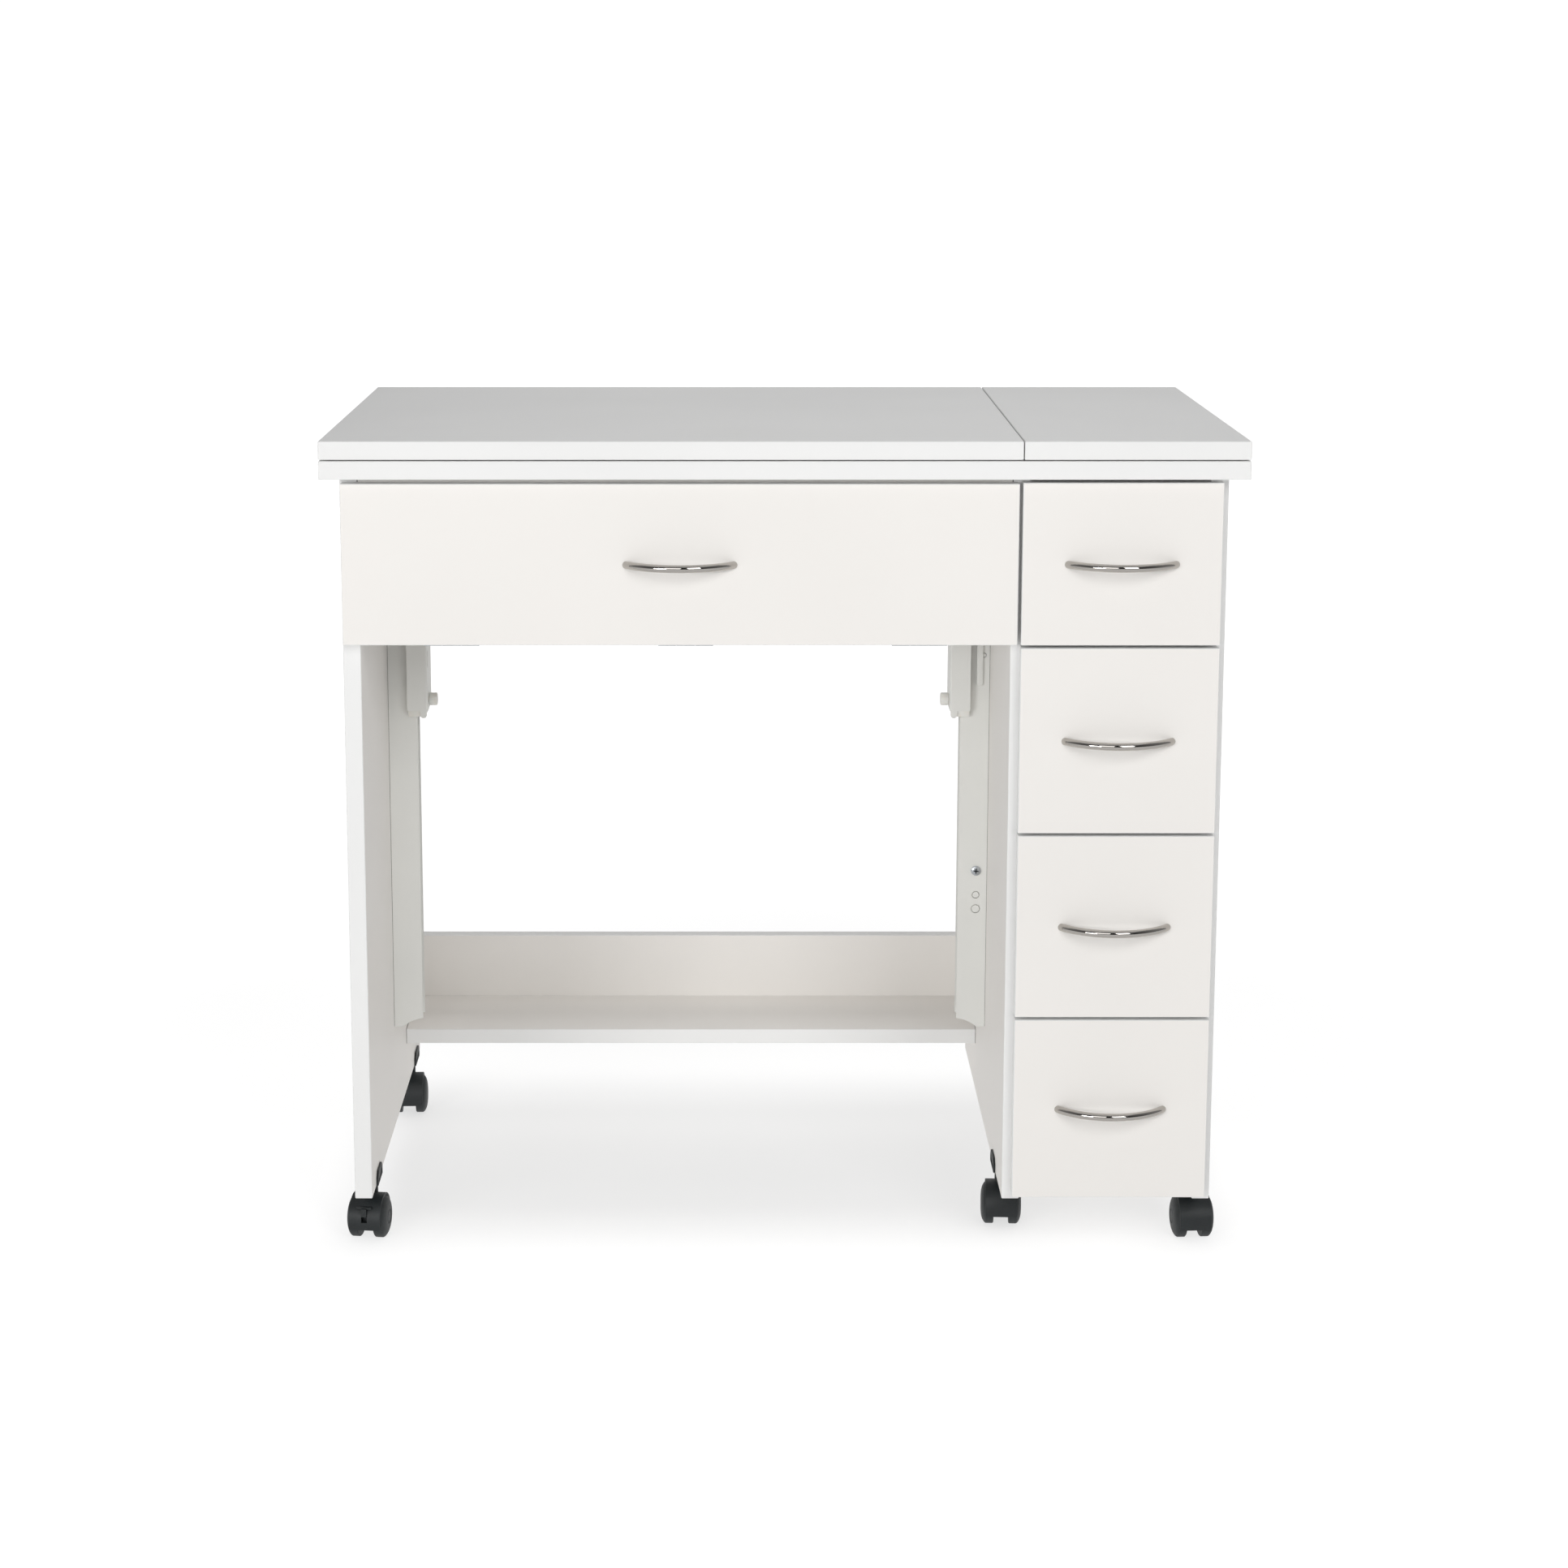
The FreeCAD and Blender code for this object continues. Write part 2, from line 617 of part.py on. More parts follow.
# ---------------------------------------------------------------- drawers
def drawer_front_span(index):
    """Lower and upper edge of a drawer's front, counted from the top."""
    if index == 0:
        return drawer_top - top_drawer_height, drawer_top
    upper = drawer_top - top_drawer_height - drawer_gap - (index - 1) * (lower_drawer_height + drawer_gap)
    return upper - lower_drawer_height, upper


def outer_runner(z):
    """Cabinet half of the left runner: a lipped channel on the bay's wall."""
    half = runner_height / 2
    sheet = runner_sheet
    reach = runner_width - runner_side_gap
    lip = half - runner_lip
    inside = reach - sheet
    web = half - sheet
    points = [(0, -half), (reach, -half), (reach, -lip), (inside, -lip), (inside, -web), (sheet, -web),
              (sheet, web), (inside, web), (inside, lip), (reach, lip), (reach, half), (0, half)]
    corners = [Vector(bay_left + x, panel_front, z + h) for x, h in points]
    return prism(corners, Vector(0, drawer_box_length, 0))


def inner_runner(z):
    """Drawer half of the left runner: a hat section that runs inside the channel's lips."""
    half = runner_height / 2
    sheet = runner_sheet
    neck = half - runner_lip - 2 * running_gap
    head = half - sheet - running_gap
    near = sheet + running_gap
    flange = near + sheet
    web = runner_width
    points = [(near, neck - sheet), (near, head), (flange, head), (flange, neck), (web, neck), (web, -neck),
              (flange, -neck), (flange, -head), (near, -head), (near, -neck + sheet),
              (web - sheet, -neck + sheet), (web - sheet, neck - sheet)]
    corners = [Vector(bay_left + x, panel_front, z + h) for x, h in points]
    return prism(corners, Vector(0, drawer_box_length, 0))


def drawer_box(bottom, top):
    """Two sides with grooves, inner front, back and a loose bottom panel."""
    left = bay_left + runner_width
    right = bay_right - runner_width
    near = front_inner
    far = near + drawer_box_length
    wall = drawer_side_board
    floor_z = bottom + drawer_bottom_rise
    groove = box(left + wall - drawer_groove, right - wall + drawer_groove, near, far,
                 floor_z, floor_z + drawer_bottom_board)
    sides = [box(left, left + wall, near, far, bottom, top), box(right - wall, right, near, far, bottom, top)]
    ends = [box(left + wall, right - wall, near, near + wall, bottom, top),
            box(left + wall, right - wall, far - wall, far, bottom, top)]
    walls = [piece.cut(groove) for piece in sides + ends]
    return walls + [groove]


def make_drawers():
    """Four drawers with overlay fronts, on lipped steel runners."""
    bay_middle = (bay_left + bay_right) / 2
    cabinet_runners = []
    for index in range(drawer_count):
        name = "drawer_%d" % (index + 1)
        low, high = drawer_front_span(index)
        save(name + "_front", board(drawer_left, drawer_right, front_face, front_inner, low, high))
        save(name + "_handle", bow_handle((drawer_left + drawer_right) / 2, (low + high) / 2))
        box_bottom = low + drawer_box_lift
        box_top = high - drawer_box_headroom
        save(name + "_box", *drawer_box(box_bottom, box_top))
        runner_z = (box_bottom + box_top) / 2
        inner = inner_runner(runner_z)
        save(name + "_runners", inner, inner.mirror(Vector(bay_middle, 0, 0), X_AXIS))
        outer = outer_runner(runner_z)
        cabinet_runners += [outer, outer.mirror(Vector(bay_middle, 0, 0), X_AXIS)]
    save("cabinet_drawer_runners", *cabinet_runners)


# ---------------------------------------------------------------- machine lift
def lift_rail():
    """Left rail: folded channel on the panel, its foot cut away in a curve at the inner corner."""
    left = knee_left
    right = left + rail_width
    sheet = rail_sheet
    outline = [Vector(x, y, rail_foot) for x, y in (
        (left, rail_face), (right, rail_face), (right, rail_face + sheet), (left + sheet, rail_face + sheet),
        (left + sheet, rail_back - sheet), (right, rail_back - sheet), (right, rail_back), (left, rail_back))]
    rail = prism(outline, Vector(0, 0, rail_top - rail_foot))
    start = Vector(left + rail_foot_start, rail_face, rail_foot)
    end = Vector(right, rail_face, rail_foot + rail_foot_rise)
    square_on = Y_AXIS.cross(end - start).normalize()
    middle = (start + end) / 2 - square_on * rail_foot_bulge
    corner = Vector(right, rail_face, rail_foot)
    edges = [Part.Arc(start, middle, end).toShape(), Part.makeLine(end, corner), Part.makeLine(corner, start)]
    foot_cut = Part.Face(Part.Wire(edges)).extrude(Vector(0, rail_depth, 0))
    return rail.cut(foot_cut)


def lift_carriage():
    """Left carriage: folded channel around the rail, with a claw, a slot and the platform's bracket."""
    sheet = carriage_sheet
    inner = knee_left + carriage_reach
    outer = inner - carriage_width
    front, back = carriage_face, carriage_back
    outline = [Vector(x, y, carriage_foot) for x, y in (
        (outer, front), (inner, front), (inner, back), (outer, back), (outer, back - sheet),
        (inner - sheet, back - sheet), (inner - sheet, front + sheet), (outer, front + sheet))]
    carriage = prism(outline, Vector(0, 0, carriage_length))
    uprights = [edge for edge in carriage.Edges if abs(edge.BoundBox.ZLength - carriage_length) < 0.01]
    folds = [edge for edge in uprights if abs(edge.BoundBox.XMin - inner) < 0.01]
    carriage = carriage.makeFillet(carriage_bend, folds)
    claw_tip = carriage_foot - claw_drop
    claw = box(inner - claw_width, inner - claw_inset, front, front + sheet, claw_tip, carriage_foot + sheet)
    corners = [edge for edge in claw.Edges
               if abs(edge.BoundBox.ZMax - claw_tip) < 0.01 and edge.BoundBox.YLength > sheet / 2]
    carriage = carriage.fuse(claw.makeFillet(claw_round, corners))
    slot_front = front + carriage_slot_setback
    slot_foot = carriage_foot + carriage_slot_rise
    carriage = carriage.cut(box(inner - sheet, inner, slot_front, slot_front + carriage_slot_width,
                                slot_foot, slot_foot + carriage_slot_height))
    near = (front + back - bracket_length) / 2
    far = near + bracket_length
    leg = box(inner, inner + sheet, near, far, platform_bottom - bracket_leg, platform_bottom)
    arm = box(inner, inner + bracket_arm, near, far, platform_bottom - sheet, platform_bottom)
    return carriage.fuse(leg).fuse(arm)


def lift_glides():
    """Two nylon shoes in the left carriage, and the knob that pins the lower one."""
    inner = knee_left + carriage_reach
    outer = inner - carriage_width + glide_inset
    near = carriage_face + carriage_sheet
    far = carriage_back - carriage_sheet
    groove = box(knee_left, knee_left + rail_width + running_gap, rail_face - running_gap,
                 rail_back + running_gap, 0, table_height)
    pieces = []
    for low in (carriage_foot - glide_drop, carriage_top - glide_height):
        shoe = box(outer, inner - carriage_sheet, near, far, low, low + glide_height)
        pieces.append(shoe.cut(groove))
    knob_seat = Vector(inner, (carriage_face + carriage_back) / 2, carriage_foot + knob_rise)
    pieces.append(rod(knob_radius, knob_length, knob_seat, X_AXIS))
    return pieces


def release_lever():
    """Narrow bar that hangs in front of the right rail, on a shoulder screw."""
    x = knee_right - lever_reach
    half = lever_width / 2
    face = rail_face - running_gap - lever_sheet
    back = face + lever_sheet
    round_foot = lever_foot + half
    bar = box(x - half, x + half, face, back, round_foot, lever_top)
    foot = rod(half, lever_sheet, Vector(x, face, round_foot), Y_AXIS)
    eye = rod(lever_eye_radius, lever_sheet, Vector(x, face, lever_pivot_height), Y_AXIS)
    nose = box(x - half - lever_nose_reach, x, face, back, lever_top - lever_nose_height, lever_top)
    bore = rod(screw_shank_radius + bearing_gap, lever_sheet, Vector(x, face, lever_pivot_height), Y_AXIS)
    return bar.fuse(foot).fuse(eye).fuse(nose).cut(bore)


def pan_screw(x, z, seat, head_radius, head_height):
    """Pan-head screw along Y, its head in front of the seat and its shank through the right rail."""
    head = rod(head_radius, head_height, Vector(x, seat - head_height, z), Y_AXIS)
    shank_length = rail_face + rail_sheet + screw_hold - seat
    return head.fuse(flat_rod(screw_shank_radius, shank_length, Vector(x, seat, z), Y_AXIS, bore_flats))


def make_lift():
    """Rails, carriages, glides, platform and release lever."""
    screw_x = knee_right - screw_reach
    lever_x = knee_right - lever_reach
    left_rail = lift_rail()
    right_rail = across_knee(left_rail)
    for x, z, radius in (
        (screw_x, spring_hole_height, spring_hole_radius),
        (screw_x, spring_slot_height, spring_slot_radius),
        (knee_right - lever_hole_reach, lever_hole_height, lever_hole_radius),
    ):
        right_rail = right_rail.cut(rod(radius, rail_sheet, Vector(x, rail_face, z), Y_AXIS))
    for x, z in ((screw_x, spring_screw_height), (lever_x, lever_pivot_height)):
        seat = Vector(x, rail_face, z)
        right_rail = right_rail.cut(flat_bore(screw_shank_radius, rail_sheet, seat, Y_AXIS))
    save("left_lift_rail", left_rail)
    save("right_lift_rail", right_rail)
    lever_seat = rail_face - lever_sheet - 2 * running_gap
    save("lift_rail_screws",
         pan_screw(screw_x, spring_screw_height, rail_face, spring_screw_radius, spring_screw_head),
         pan_screw(lever_x, lever_pivot_height, lever_seat, pivot_screw_radius, pivot_screw_head))

    left_carriage = lift_carriage()
    save("left_lift_carriage", left_carriage)
    save("right_lift_carriage", across_knee(left_carriage))
    left_glides = lift_glides()
    save("lift_glides", *(left_glides + [across_knee(piece) for piece in left_glides]))
    save("lift_platform", board(platform_left, platform_right, platform_front, platform_back,
                                platform_bottom, platform_top))
    save("release_lever", release_lever())


def main():
    os.makedirs("parts", exist_ok=True)
    make_body()
    make_top()
    make_drop_front()
    make_drawers()
    make_lift()
    make_casters()


main()
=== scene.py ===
# White melamine sewing cabinet on casters: finishes, bow handles, casters, fittings, fasteners
# and studio.  Lengths are metres unless a name ends in Mm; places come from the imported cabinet.
import json
import math
import bmesh
import bpy
from mathutils import Matrix, Vector

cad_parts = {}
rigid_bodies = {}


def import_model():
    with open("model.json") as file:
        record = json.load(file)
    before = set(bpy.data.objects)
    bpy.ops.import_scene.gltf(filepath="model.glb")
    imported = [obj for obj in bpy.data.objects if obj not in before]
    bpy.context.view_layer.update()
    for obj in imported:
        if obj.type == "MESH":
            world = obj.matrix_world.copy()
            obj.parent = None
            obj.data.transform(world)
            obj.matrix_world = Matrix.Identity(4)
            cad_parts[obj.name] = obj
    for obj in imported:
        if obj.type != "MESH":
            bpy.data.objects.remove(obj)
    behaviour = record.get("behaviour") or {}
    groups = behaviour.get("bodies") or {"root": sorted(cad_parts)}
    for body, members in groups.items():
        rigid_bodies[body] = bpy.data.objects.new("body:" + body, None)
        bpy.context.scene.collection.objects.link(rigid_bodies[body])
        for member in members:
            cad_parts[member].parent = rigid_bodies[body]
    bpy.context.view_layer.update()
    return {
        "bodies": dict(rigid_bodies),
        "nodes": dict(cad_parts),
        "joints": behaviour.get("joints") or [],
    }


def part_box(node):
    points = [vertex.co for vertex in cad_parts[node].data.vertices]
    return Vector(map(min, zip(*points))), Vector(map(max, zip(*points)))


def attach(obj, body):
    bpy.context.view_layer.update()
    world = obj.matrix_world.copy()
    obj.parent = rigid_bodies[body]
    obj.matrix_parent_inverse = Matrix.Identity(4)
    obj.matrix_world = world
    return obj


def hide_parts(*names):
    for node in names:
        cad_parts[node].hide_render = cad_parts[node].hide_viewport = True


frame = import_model()
scene = bpy.context.scene
jointNamed = {joint["name"]: joint for joint in frame["joints"]}

mm = 0.001
left, right = Vector((-1, 0, 0)), Vector((1, 0, 0))
front, back = Vector((0, -1, 0)), Vector((0, 1, 0))
down, up = Vector((0, 0, -1)), Vector((0, 0, 1))
drawers = ("drawer_1", "drawer_2", "drawer_3", "drawer_4")


def hexColour(code):  # sRGB hex to the linear colour a socket takes
    parts = [int(code[i:i + 2], 16) / 255 for i in (0, 2, 4)]
    linear = [p / 12.92 if p <= 0.04045 else ((p + 0.055) / 1.055) ** 2.4 for p in parts]
    return (*linear, 1.0)


def addNode(tree, kind, inputs=None, **settings):  # an input is a value or a link
    node = tree.nodes.new(kind)
    for name, value in settings.items():
        setattr(node, name, value)
    for name, value in (inputs or {}).items():
        if isinstance(value, bpy.types.NodeSocket):
            tree.links.new(value, node.inputs[name])
        else:
            node.inputs[name].default_value = value
    return node


# Finishes: each is one real surface or a painted shade, with two close colours, a texture at its real
# size and gloss.
driftSpan = (0.35, 0.65)  # part of the noise's range over which one colour passes into the other
glossSpan = (0.3, 0.7)    # part of the noise's range over which the gloss varies
driftDetail, grainDetail = 2.0, 3.0     # octaves of the noise, where a finish names no other
refraction = 1.5          # index of the plastics and paints; metals keep the shader's own


def perMetre(sizeMm):  # noise scale that gives features of this size
    return 1000 / sizeMm


def mottle(tree, shader, place, finish):  # slow drift between two close colours
    cloud = addNode(tree, "ShaderNodeTexNoise", {
        "Vector": place, "Scale": perMetre(finish["driftMm"]),
        "Detail": finish.get("driftDetail", driftDetail)})
    blend = addNode(tree, "ShaderNodeValToRGB", {"Fac": cloud.outputs["Fac"]})
    for stop, position, code in zip(blend.color_ramp.elements, driftSpan, finish["deepAndPale"]):
        stop.position = position
        stop.color = hexColour(code)
    tree.links.new(blend.outputs["Color"], shader.inputs["Base Color"])


def grain(tree, shader, place, finish):  # bumps the surface and varies its gloss together
    speckle = addNode(tree, "ShaderNodeTexNoise", {
        "Vector": place, "Scale": perMetre(finish["grainMm"]),
        "Detail": finish.get("grainDetail", grainDetail)})
    gloss = addNode(tree, "ShaderNodeMapRange", {
        "Value": speckle.outputs["Fac"], "From Min": glossSpan[0], "From Max": glossSpan[1],
        "To Min": finish["rough"][0], "To Max": finish["rough"][1]})
    tree.links.new(gloss.outputs["Result"], shader.inputs["Roughness"])
    relief = addNode(tree, "ShaderNodeBump", {
        "Height": speckle.outputs["Fac"], "Strength": finish["bump"],
        "Distance": finish["depthMm"] * mm})
    tree.links.new(relief.outputs["Normal"], shader.inputs["Normal"])


def makeFinish(name, finish):  # its "shader" entries are set on the shader's own sockets
    material = bpy.data.materials.new(name)
    material.use_nodes = True
    tree = material.node_tree
    shader = tree.nodes["Principled BSDF"]
    sockets = finish.get("shader", {})
    if "Metallic" not in sockets:
        shader.inputs["IOR"].default_value = refraction
    for socket, value in sockets.items():
        shader.inputs[socket].default_value = value
    place = addNode(tree, "ShaderNodeTexCoord").outputs["Object"]
    if "driftMm" in finish:
        mottle(tree, shader, place, finish)
    if "grainMm" in finish:
        grain(tree, shader, place, finish)
    return material


# Melamine décor film pressed on chipboard: its pearl texture breaks reflections into a satin
# sheen.  Real pearls are about 0.5 mm; they are drawn at 2 mm so that they show across a room.
film = makeFinish("melamineFilm", {
    "deepAndPale": ("EFECE8", "F1EEEA"), "driftMm": 260,
    "grainMm": 2.0, "depthMm": 0.05, "rough": (0.38, 0.5), "bump": 0.25})

# High-pressure laminate of the work surface: harder and cooler in tone than the film below it.
laminate = makeFinish("topLaminate", {
    "shader": {"Specular IOR Level": 0.4}, "deepAndPale": ("EAEAE9", "EDEDEC"), "driftMm": 310,
    "grainMm": 2.0, "depthMm": 0.05, "rough": (0.46, 0.56), "bump": 0.25})

# PVC edging strip glued to cut board edges: smoother than the film, so it catches a brighter line.
banding = makeFinish("pvcEdgeBanding", {
    "deepAndPale": ("EEEEED", "F0F0EF"), "driftMm": 220, "driftDetail": 0.0,
    "grainMm": 6.0, "grainDetail": 1.0, "depthMm": 0.02, "rough": (0.3, 0.34), "bump": 0.1})

# Baked polyester powder on folded sheet steel: a soft orange peel of about 1.5 mm.
powder = makeFinish("whitePowderCoat", {
    "deepAndPale": ("E8E8E4", "ECECE8"), "driftMm": 120,
    "grainMm": 1.6, "depthMm": 0.05, "rough": (0.3, 0.4), "bump": 0.35})

# Chrome plate on polished rod: a near mirror, with the long slow waves that polishing leaves.
chrome = makeFinish("chromePlate", {
    "shader": {"Metallic": 1.0, "Base Color": hexColour("B9B5B0")},
    "grainMm": 14.0, "grainDetail": 1.0, "depthMm": 0.02, "rough": (0.04, 0.08), "bump": 0.15})

# Bright zinc on pressed steel: a pale, slightly blue metal with a faint cloudy passivation.
zinc = makeFinish("brightZinc", {
    "shader": {"Metallic": 1.0}, "deepAndPale": ("B2B6BA", "C6CACE"), "driftMm": 9,
    "grainMm": 1.2, "depthMm": 0.02, "rough": (0.24, 0.38), "bump": 0.3})

# Painted shade at the foot of a driver recess: a dark steel disc stands for the shadow where little
# light reaches.
recessShadeSteel = makeFinish("paintedRecessShade", {
    "shader": {"Metallic": 1.0}, "deepAndPale": ("26282B", "3A3D40"), "driftMm": 2,
    "grainMm": 0.6, "depthMm": 0.02, "rough": (0.35, 0.5), "bump": 0.3})

# Nylon moulded in a spark-eroded tool: a fine matt grain on a blue-black plastic.
blackNylon = makeFinish("blackNylon", {
    "deepAndPale": ("151A1C", "1A2022"), "driftMm": 30,
    "grainMm": 0.8, "depthMm": 0.05, "rough": (0.45, 0.6), "bump": 0.4})

# Hard polyurethane wheel: a shade greyer than the hood, dulled and scuffed by the floor.
tread = makeFinish("polyurethaneWheel", {
    "deepAndPale": ("1B2022", "1F2527"), "driftMm": 12, "driftDetail": 4.0,
    "grainMm": 1.0, "depthMm": 0.04, "rough": (0.44, 0.56), "bump": 0.25})

# Unpigmented nylon: milky, faintly warm, and light passes a little way in.
milkNylon = makeFinish("naturalNylon", {
    "shader": {"Subsurface Weight": 0.25, "Subsurface Radius": (1.2 * mm, 1.0 * mm, 0.8 * mm)},
    "deepAndPale": ("E9E7E1", "EFEEE9"), "driftMm": 18,
    "grainMm": 1.0, "depthMm": 0.03, "rough": (0.3, 0.42), "bump": 0.25})

# Hairline gap where a board or a rail meets a panel: painted shade, a soft dark line that stands for
# the shadow in the gap.
shade = makeFinish("paintedJointShade", {
    "deepAndPale": ("6A6662", "7C7873"), "driftMm": 40,
    "grainMm": 1.0, "depthMm": 0.03, "rough": (0.85, 0.95), "bump": 0.2})
print("finishes ready:", len(bpy.data.materials))

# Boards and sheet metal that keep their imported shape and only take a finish.
boardFaces = {  # axis that each board's film faces look along; its other faces are edge banded
    "X": ("left_side_panel", "pedestal_inner_panel", "pedestal_outer_panel"),
    "Y": ("shelf_back_rail", "rear_top_rail", "front_top_rail", "front_hinge_rail",
          "drop_front_panel", "pedestal_back_panel", *(drawer + "_front" for drawer in drawers)),
    "Z": ("fixed_top", "left_leaf_panel", "right_leaf_panel", "lift_platform", "foot_shelf",
          "pedestal_bottom_panel"),
}
laminatedBoards = ("fixed_top", "left_leaf_panel", "right_leaf_panel", "lift_platform")
sheetFinish = {
    powder: ("left_lift_rail", "right_lift_rail", "left_lift_carriage", "right_lift_carriage",
             "cabinet_drawer_runners", *(drawer + "_runners" for drawer in drawers)),
    zinc: ("fixed_top_hinge_plates", "left_leaf_hinge_plates", "right_leaf_hinge_plates",
           "hinge_rail_plates", "drop_front_hinge_plates"),
}
squareTo = 0.9        # share of a normal along an axis that makes a face square to it
topEdge = 0.5 * mm    # faces this near to a drawer box's top are its boards' top edges


def dress(node, finish, edging=None, isEdge=None):  # one finish, and another where isEdge says so
    mesh = frame["nodes"][node].data
    mesh.materials.clear()
    mesh.materials.append(finish)
    if edging:
        mesh.materials.append(edging)
        for face in mesh.polygons:
            face.material_index = int(isEdge(face))


for axis, names in enumerate(boardFaces.values()):
    for name in names:
        dress(name, laminate if name in laminatedBoards else film, banding,
              lambda face: abs(face.normal[axis]) <= squareTo)
for drawer in drawers:
    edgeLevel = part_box(drawer + "_box")[1].z - topEdge
    dress(drawer + "_box", film, banding, lambda face: face.center.z > edgeLevel)
for finish, names in sheetFinish.items():
    for name in names:
        dress(name, finish)
print("boards and sheet metal dressed")


# Helpers for finished pieces.
def linkPiece(name, mesh):
    piece = bpy.data.objects.new(name, mesh)
    scene.collection.objects.link(piece)
    return piece


def plainMesh(source, name):  # evaluated mesh of an object, as an object of its own at the origin
    evaluated = source.evaluated_get(bpy.context.evaluated_depsgraph_get())
    mesh = bpy.data.meshes.new_from_object(evaluated)
    mesh.name = name
    bpy.data.objects.remove(source)
    return linkPiece(name, mesh)


def dropEmptySlots(piece):  # leaves only the material slots that hold a finish
    mesh = piece.data
    kept = [finish for finish in mesh.materials if finish is not None]
    places = [kept.index(finish) if finish is not None else 0 for finish in mesh.materials]
    wanted = [places[face.material_index] for face in mesh.polygons]
    mesh.materials.clear()
    for finish in kept:
        mesh.materials.append(finish)
    mesh.polygons.foreach_set("material_index", wanted)
    return piece


def grownPiece(name, tree, values, seeds, facing=None, edges=()):
    # runs a Geometry Nodes tree on seed points or edges and keeps the plain result;
    # facing is one direction for all seeds or one for each
    mesh = bpy.data.meshes.new(name + "Seeds")
    mesh.from_pydata([tuple(seed) for seed in seeds], list(edges), [])
    if facing is not None:
        layer = mesh.attributes.new("axis", "FLOAT_VECTOR", "POINT")
        directions = [facing] * len(seeds) if isinstance(facing, Vector) else facing
        for item, direction in zip(layer.data, directions):
            item.vector = direction
    source = linkPiece(name + "Seeds", mesh)
    modifier = source.modifiers.new("grow", "NODES")
    modifier.node_group = tree
    for item in tree.interface.items_tree:
        if item.item_type == "SOCKET" and item.in_out == "INPUT" and item.name in values:
            modifier[item.identifier] = values[item.name]
    return dropEmptySlots(plainMesh(source, name))


def newTree(name, values):  # empty Geometry Nodes tree with a named input for each value
    tree = bpy.data.node_groups.new(name, "GeometryNodeTree")
    tree.interface.new_socket("Geometry", in_out="INPUT", socket_type="NodeSocketGeometry")
    for label, value in values.items():
        isFinish = isinstance(value, bpy.types.Material)
        kind = "Material" if isFinish else "Int" if isinstance(value, int) else "Float"
        socket = tree.interface.new_socket(label, in_out="INPUT", socket_type="NodeSocket" + kind)
        socket.default_value = value
    tree.interface.new_socket("Geometry", in_out="OUTPUT", socket_type="NodeSocketGeometry")
    return tree, addNode(tree, "NodeGroupInput").outputs


def closeTree(tree, geometry, finish, spared=None):
    # Realize Instances, Set Material and the output; faces of the spared finish keep it
    real = addNode(tree, "GeometryNodeRealizeInstances", {"Geometry": geometry})
    painted = addNode(tree, "GeometryNodeSetMaterial", {
        "Geometry": real.outputs[0], "Material": finish})
    if spared is not None:
        isSpared = addNode(tree, "GeometryNodeMaterialSelection", {"Material": spared}).outputs[0]
        others = addNode(tree, "FunctionNodeBooleanMath", {0: isSpared}, operation="NOT").outputs[0]
        tree.links.new(others, painted.inputs["Selection"])
    addNode(tree, "NodeGroupOutput", {0: painted.outputs[0]})


cornersOver = {"rod": 50, "turned": 40, "screw": 35, "moulded": 30}  # degrees, and stay sharp


def smooth(piece, degrees):  # smooth shading that keeps corners sharper than this
    mesh = piece.data
    mesh.polygons.foreach_set("use_smooth", [True] * len(mesh.polygons))
    work = bmesh.new()
    work.from_mesh(mesh)
    for edge in work.edges:
        edge.smooth = len(edge.link_faces) == 2 and edge.calc_face_angle(0) < math.radians(degrees)
    work.to_mesh(mesh)
    work.free()
    return piece


def addEase(source, width, degrees):  # rounds over the edges that are sharper than this
    ease = source.modifiers.new("ease", "BEVEL")
    ease.width = width
    ease.segments = 2
    ease.limit_method = "ANGLE"
    ease.angle_limit = math.radians(degrees)


def fit(piece, body, slot, *nodes):  # rides on its body, stands for imported nodes; slot is not used
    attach(piece, body)
    if nodes:
        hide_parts(*nodes)


# Bow handles: a polished rod bent to an arc and cut flush where it seats on the front.
bowHandle = {
    "centres": 96 * mm,    # between the two feet
    "rise": 24 * mm,       # face to the middle of the rod at its crown
    "rodRadius": 3.5 * mm,
    "bendSteps": 56,
    "rodSteps": 28,
    "sunk": 4 * mm,        # rod that runs on into the front before it is cut flush
    "finish": chrome,
}


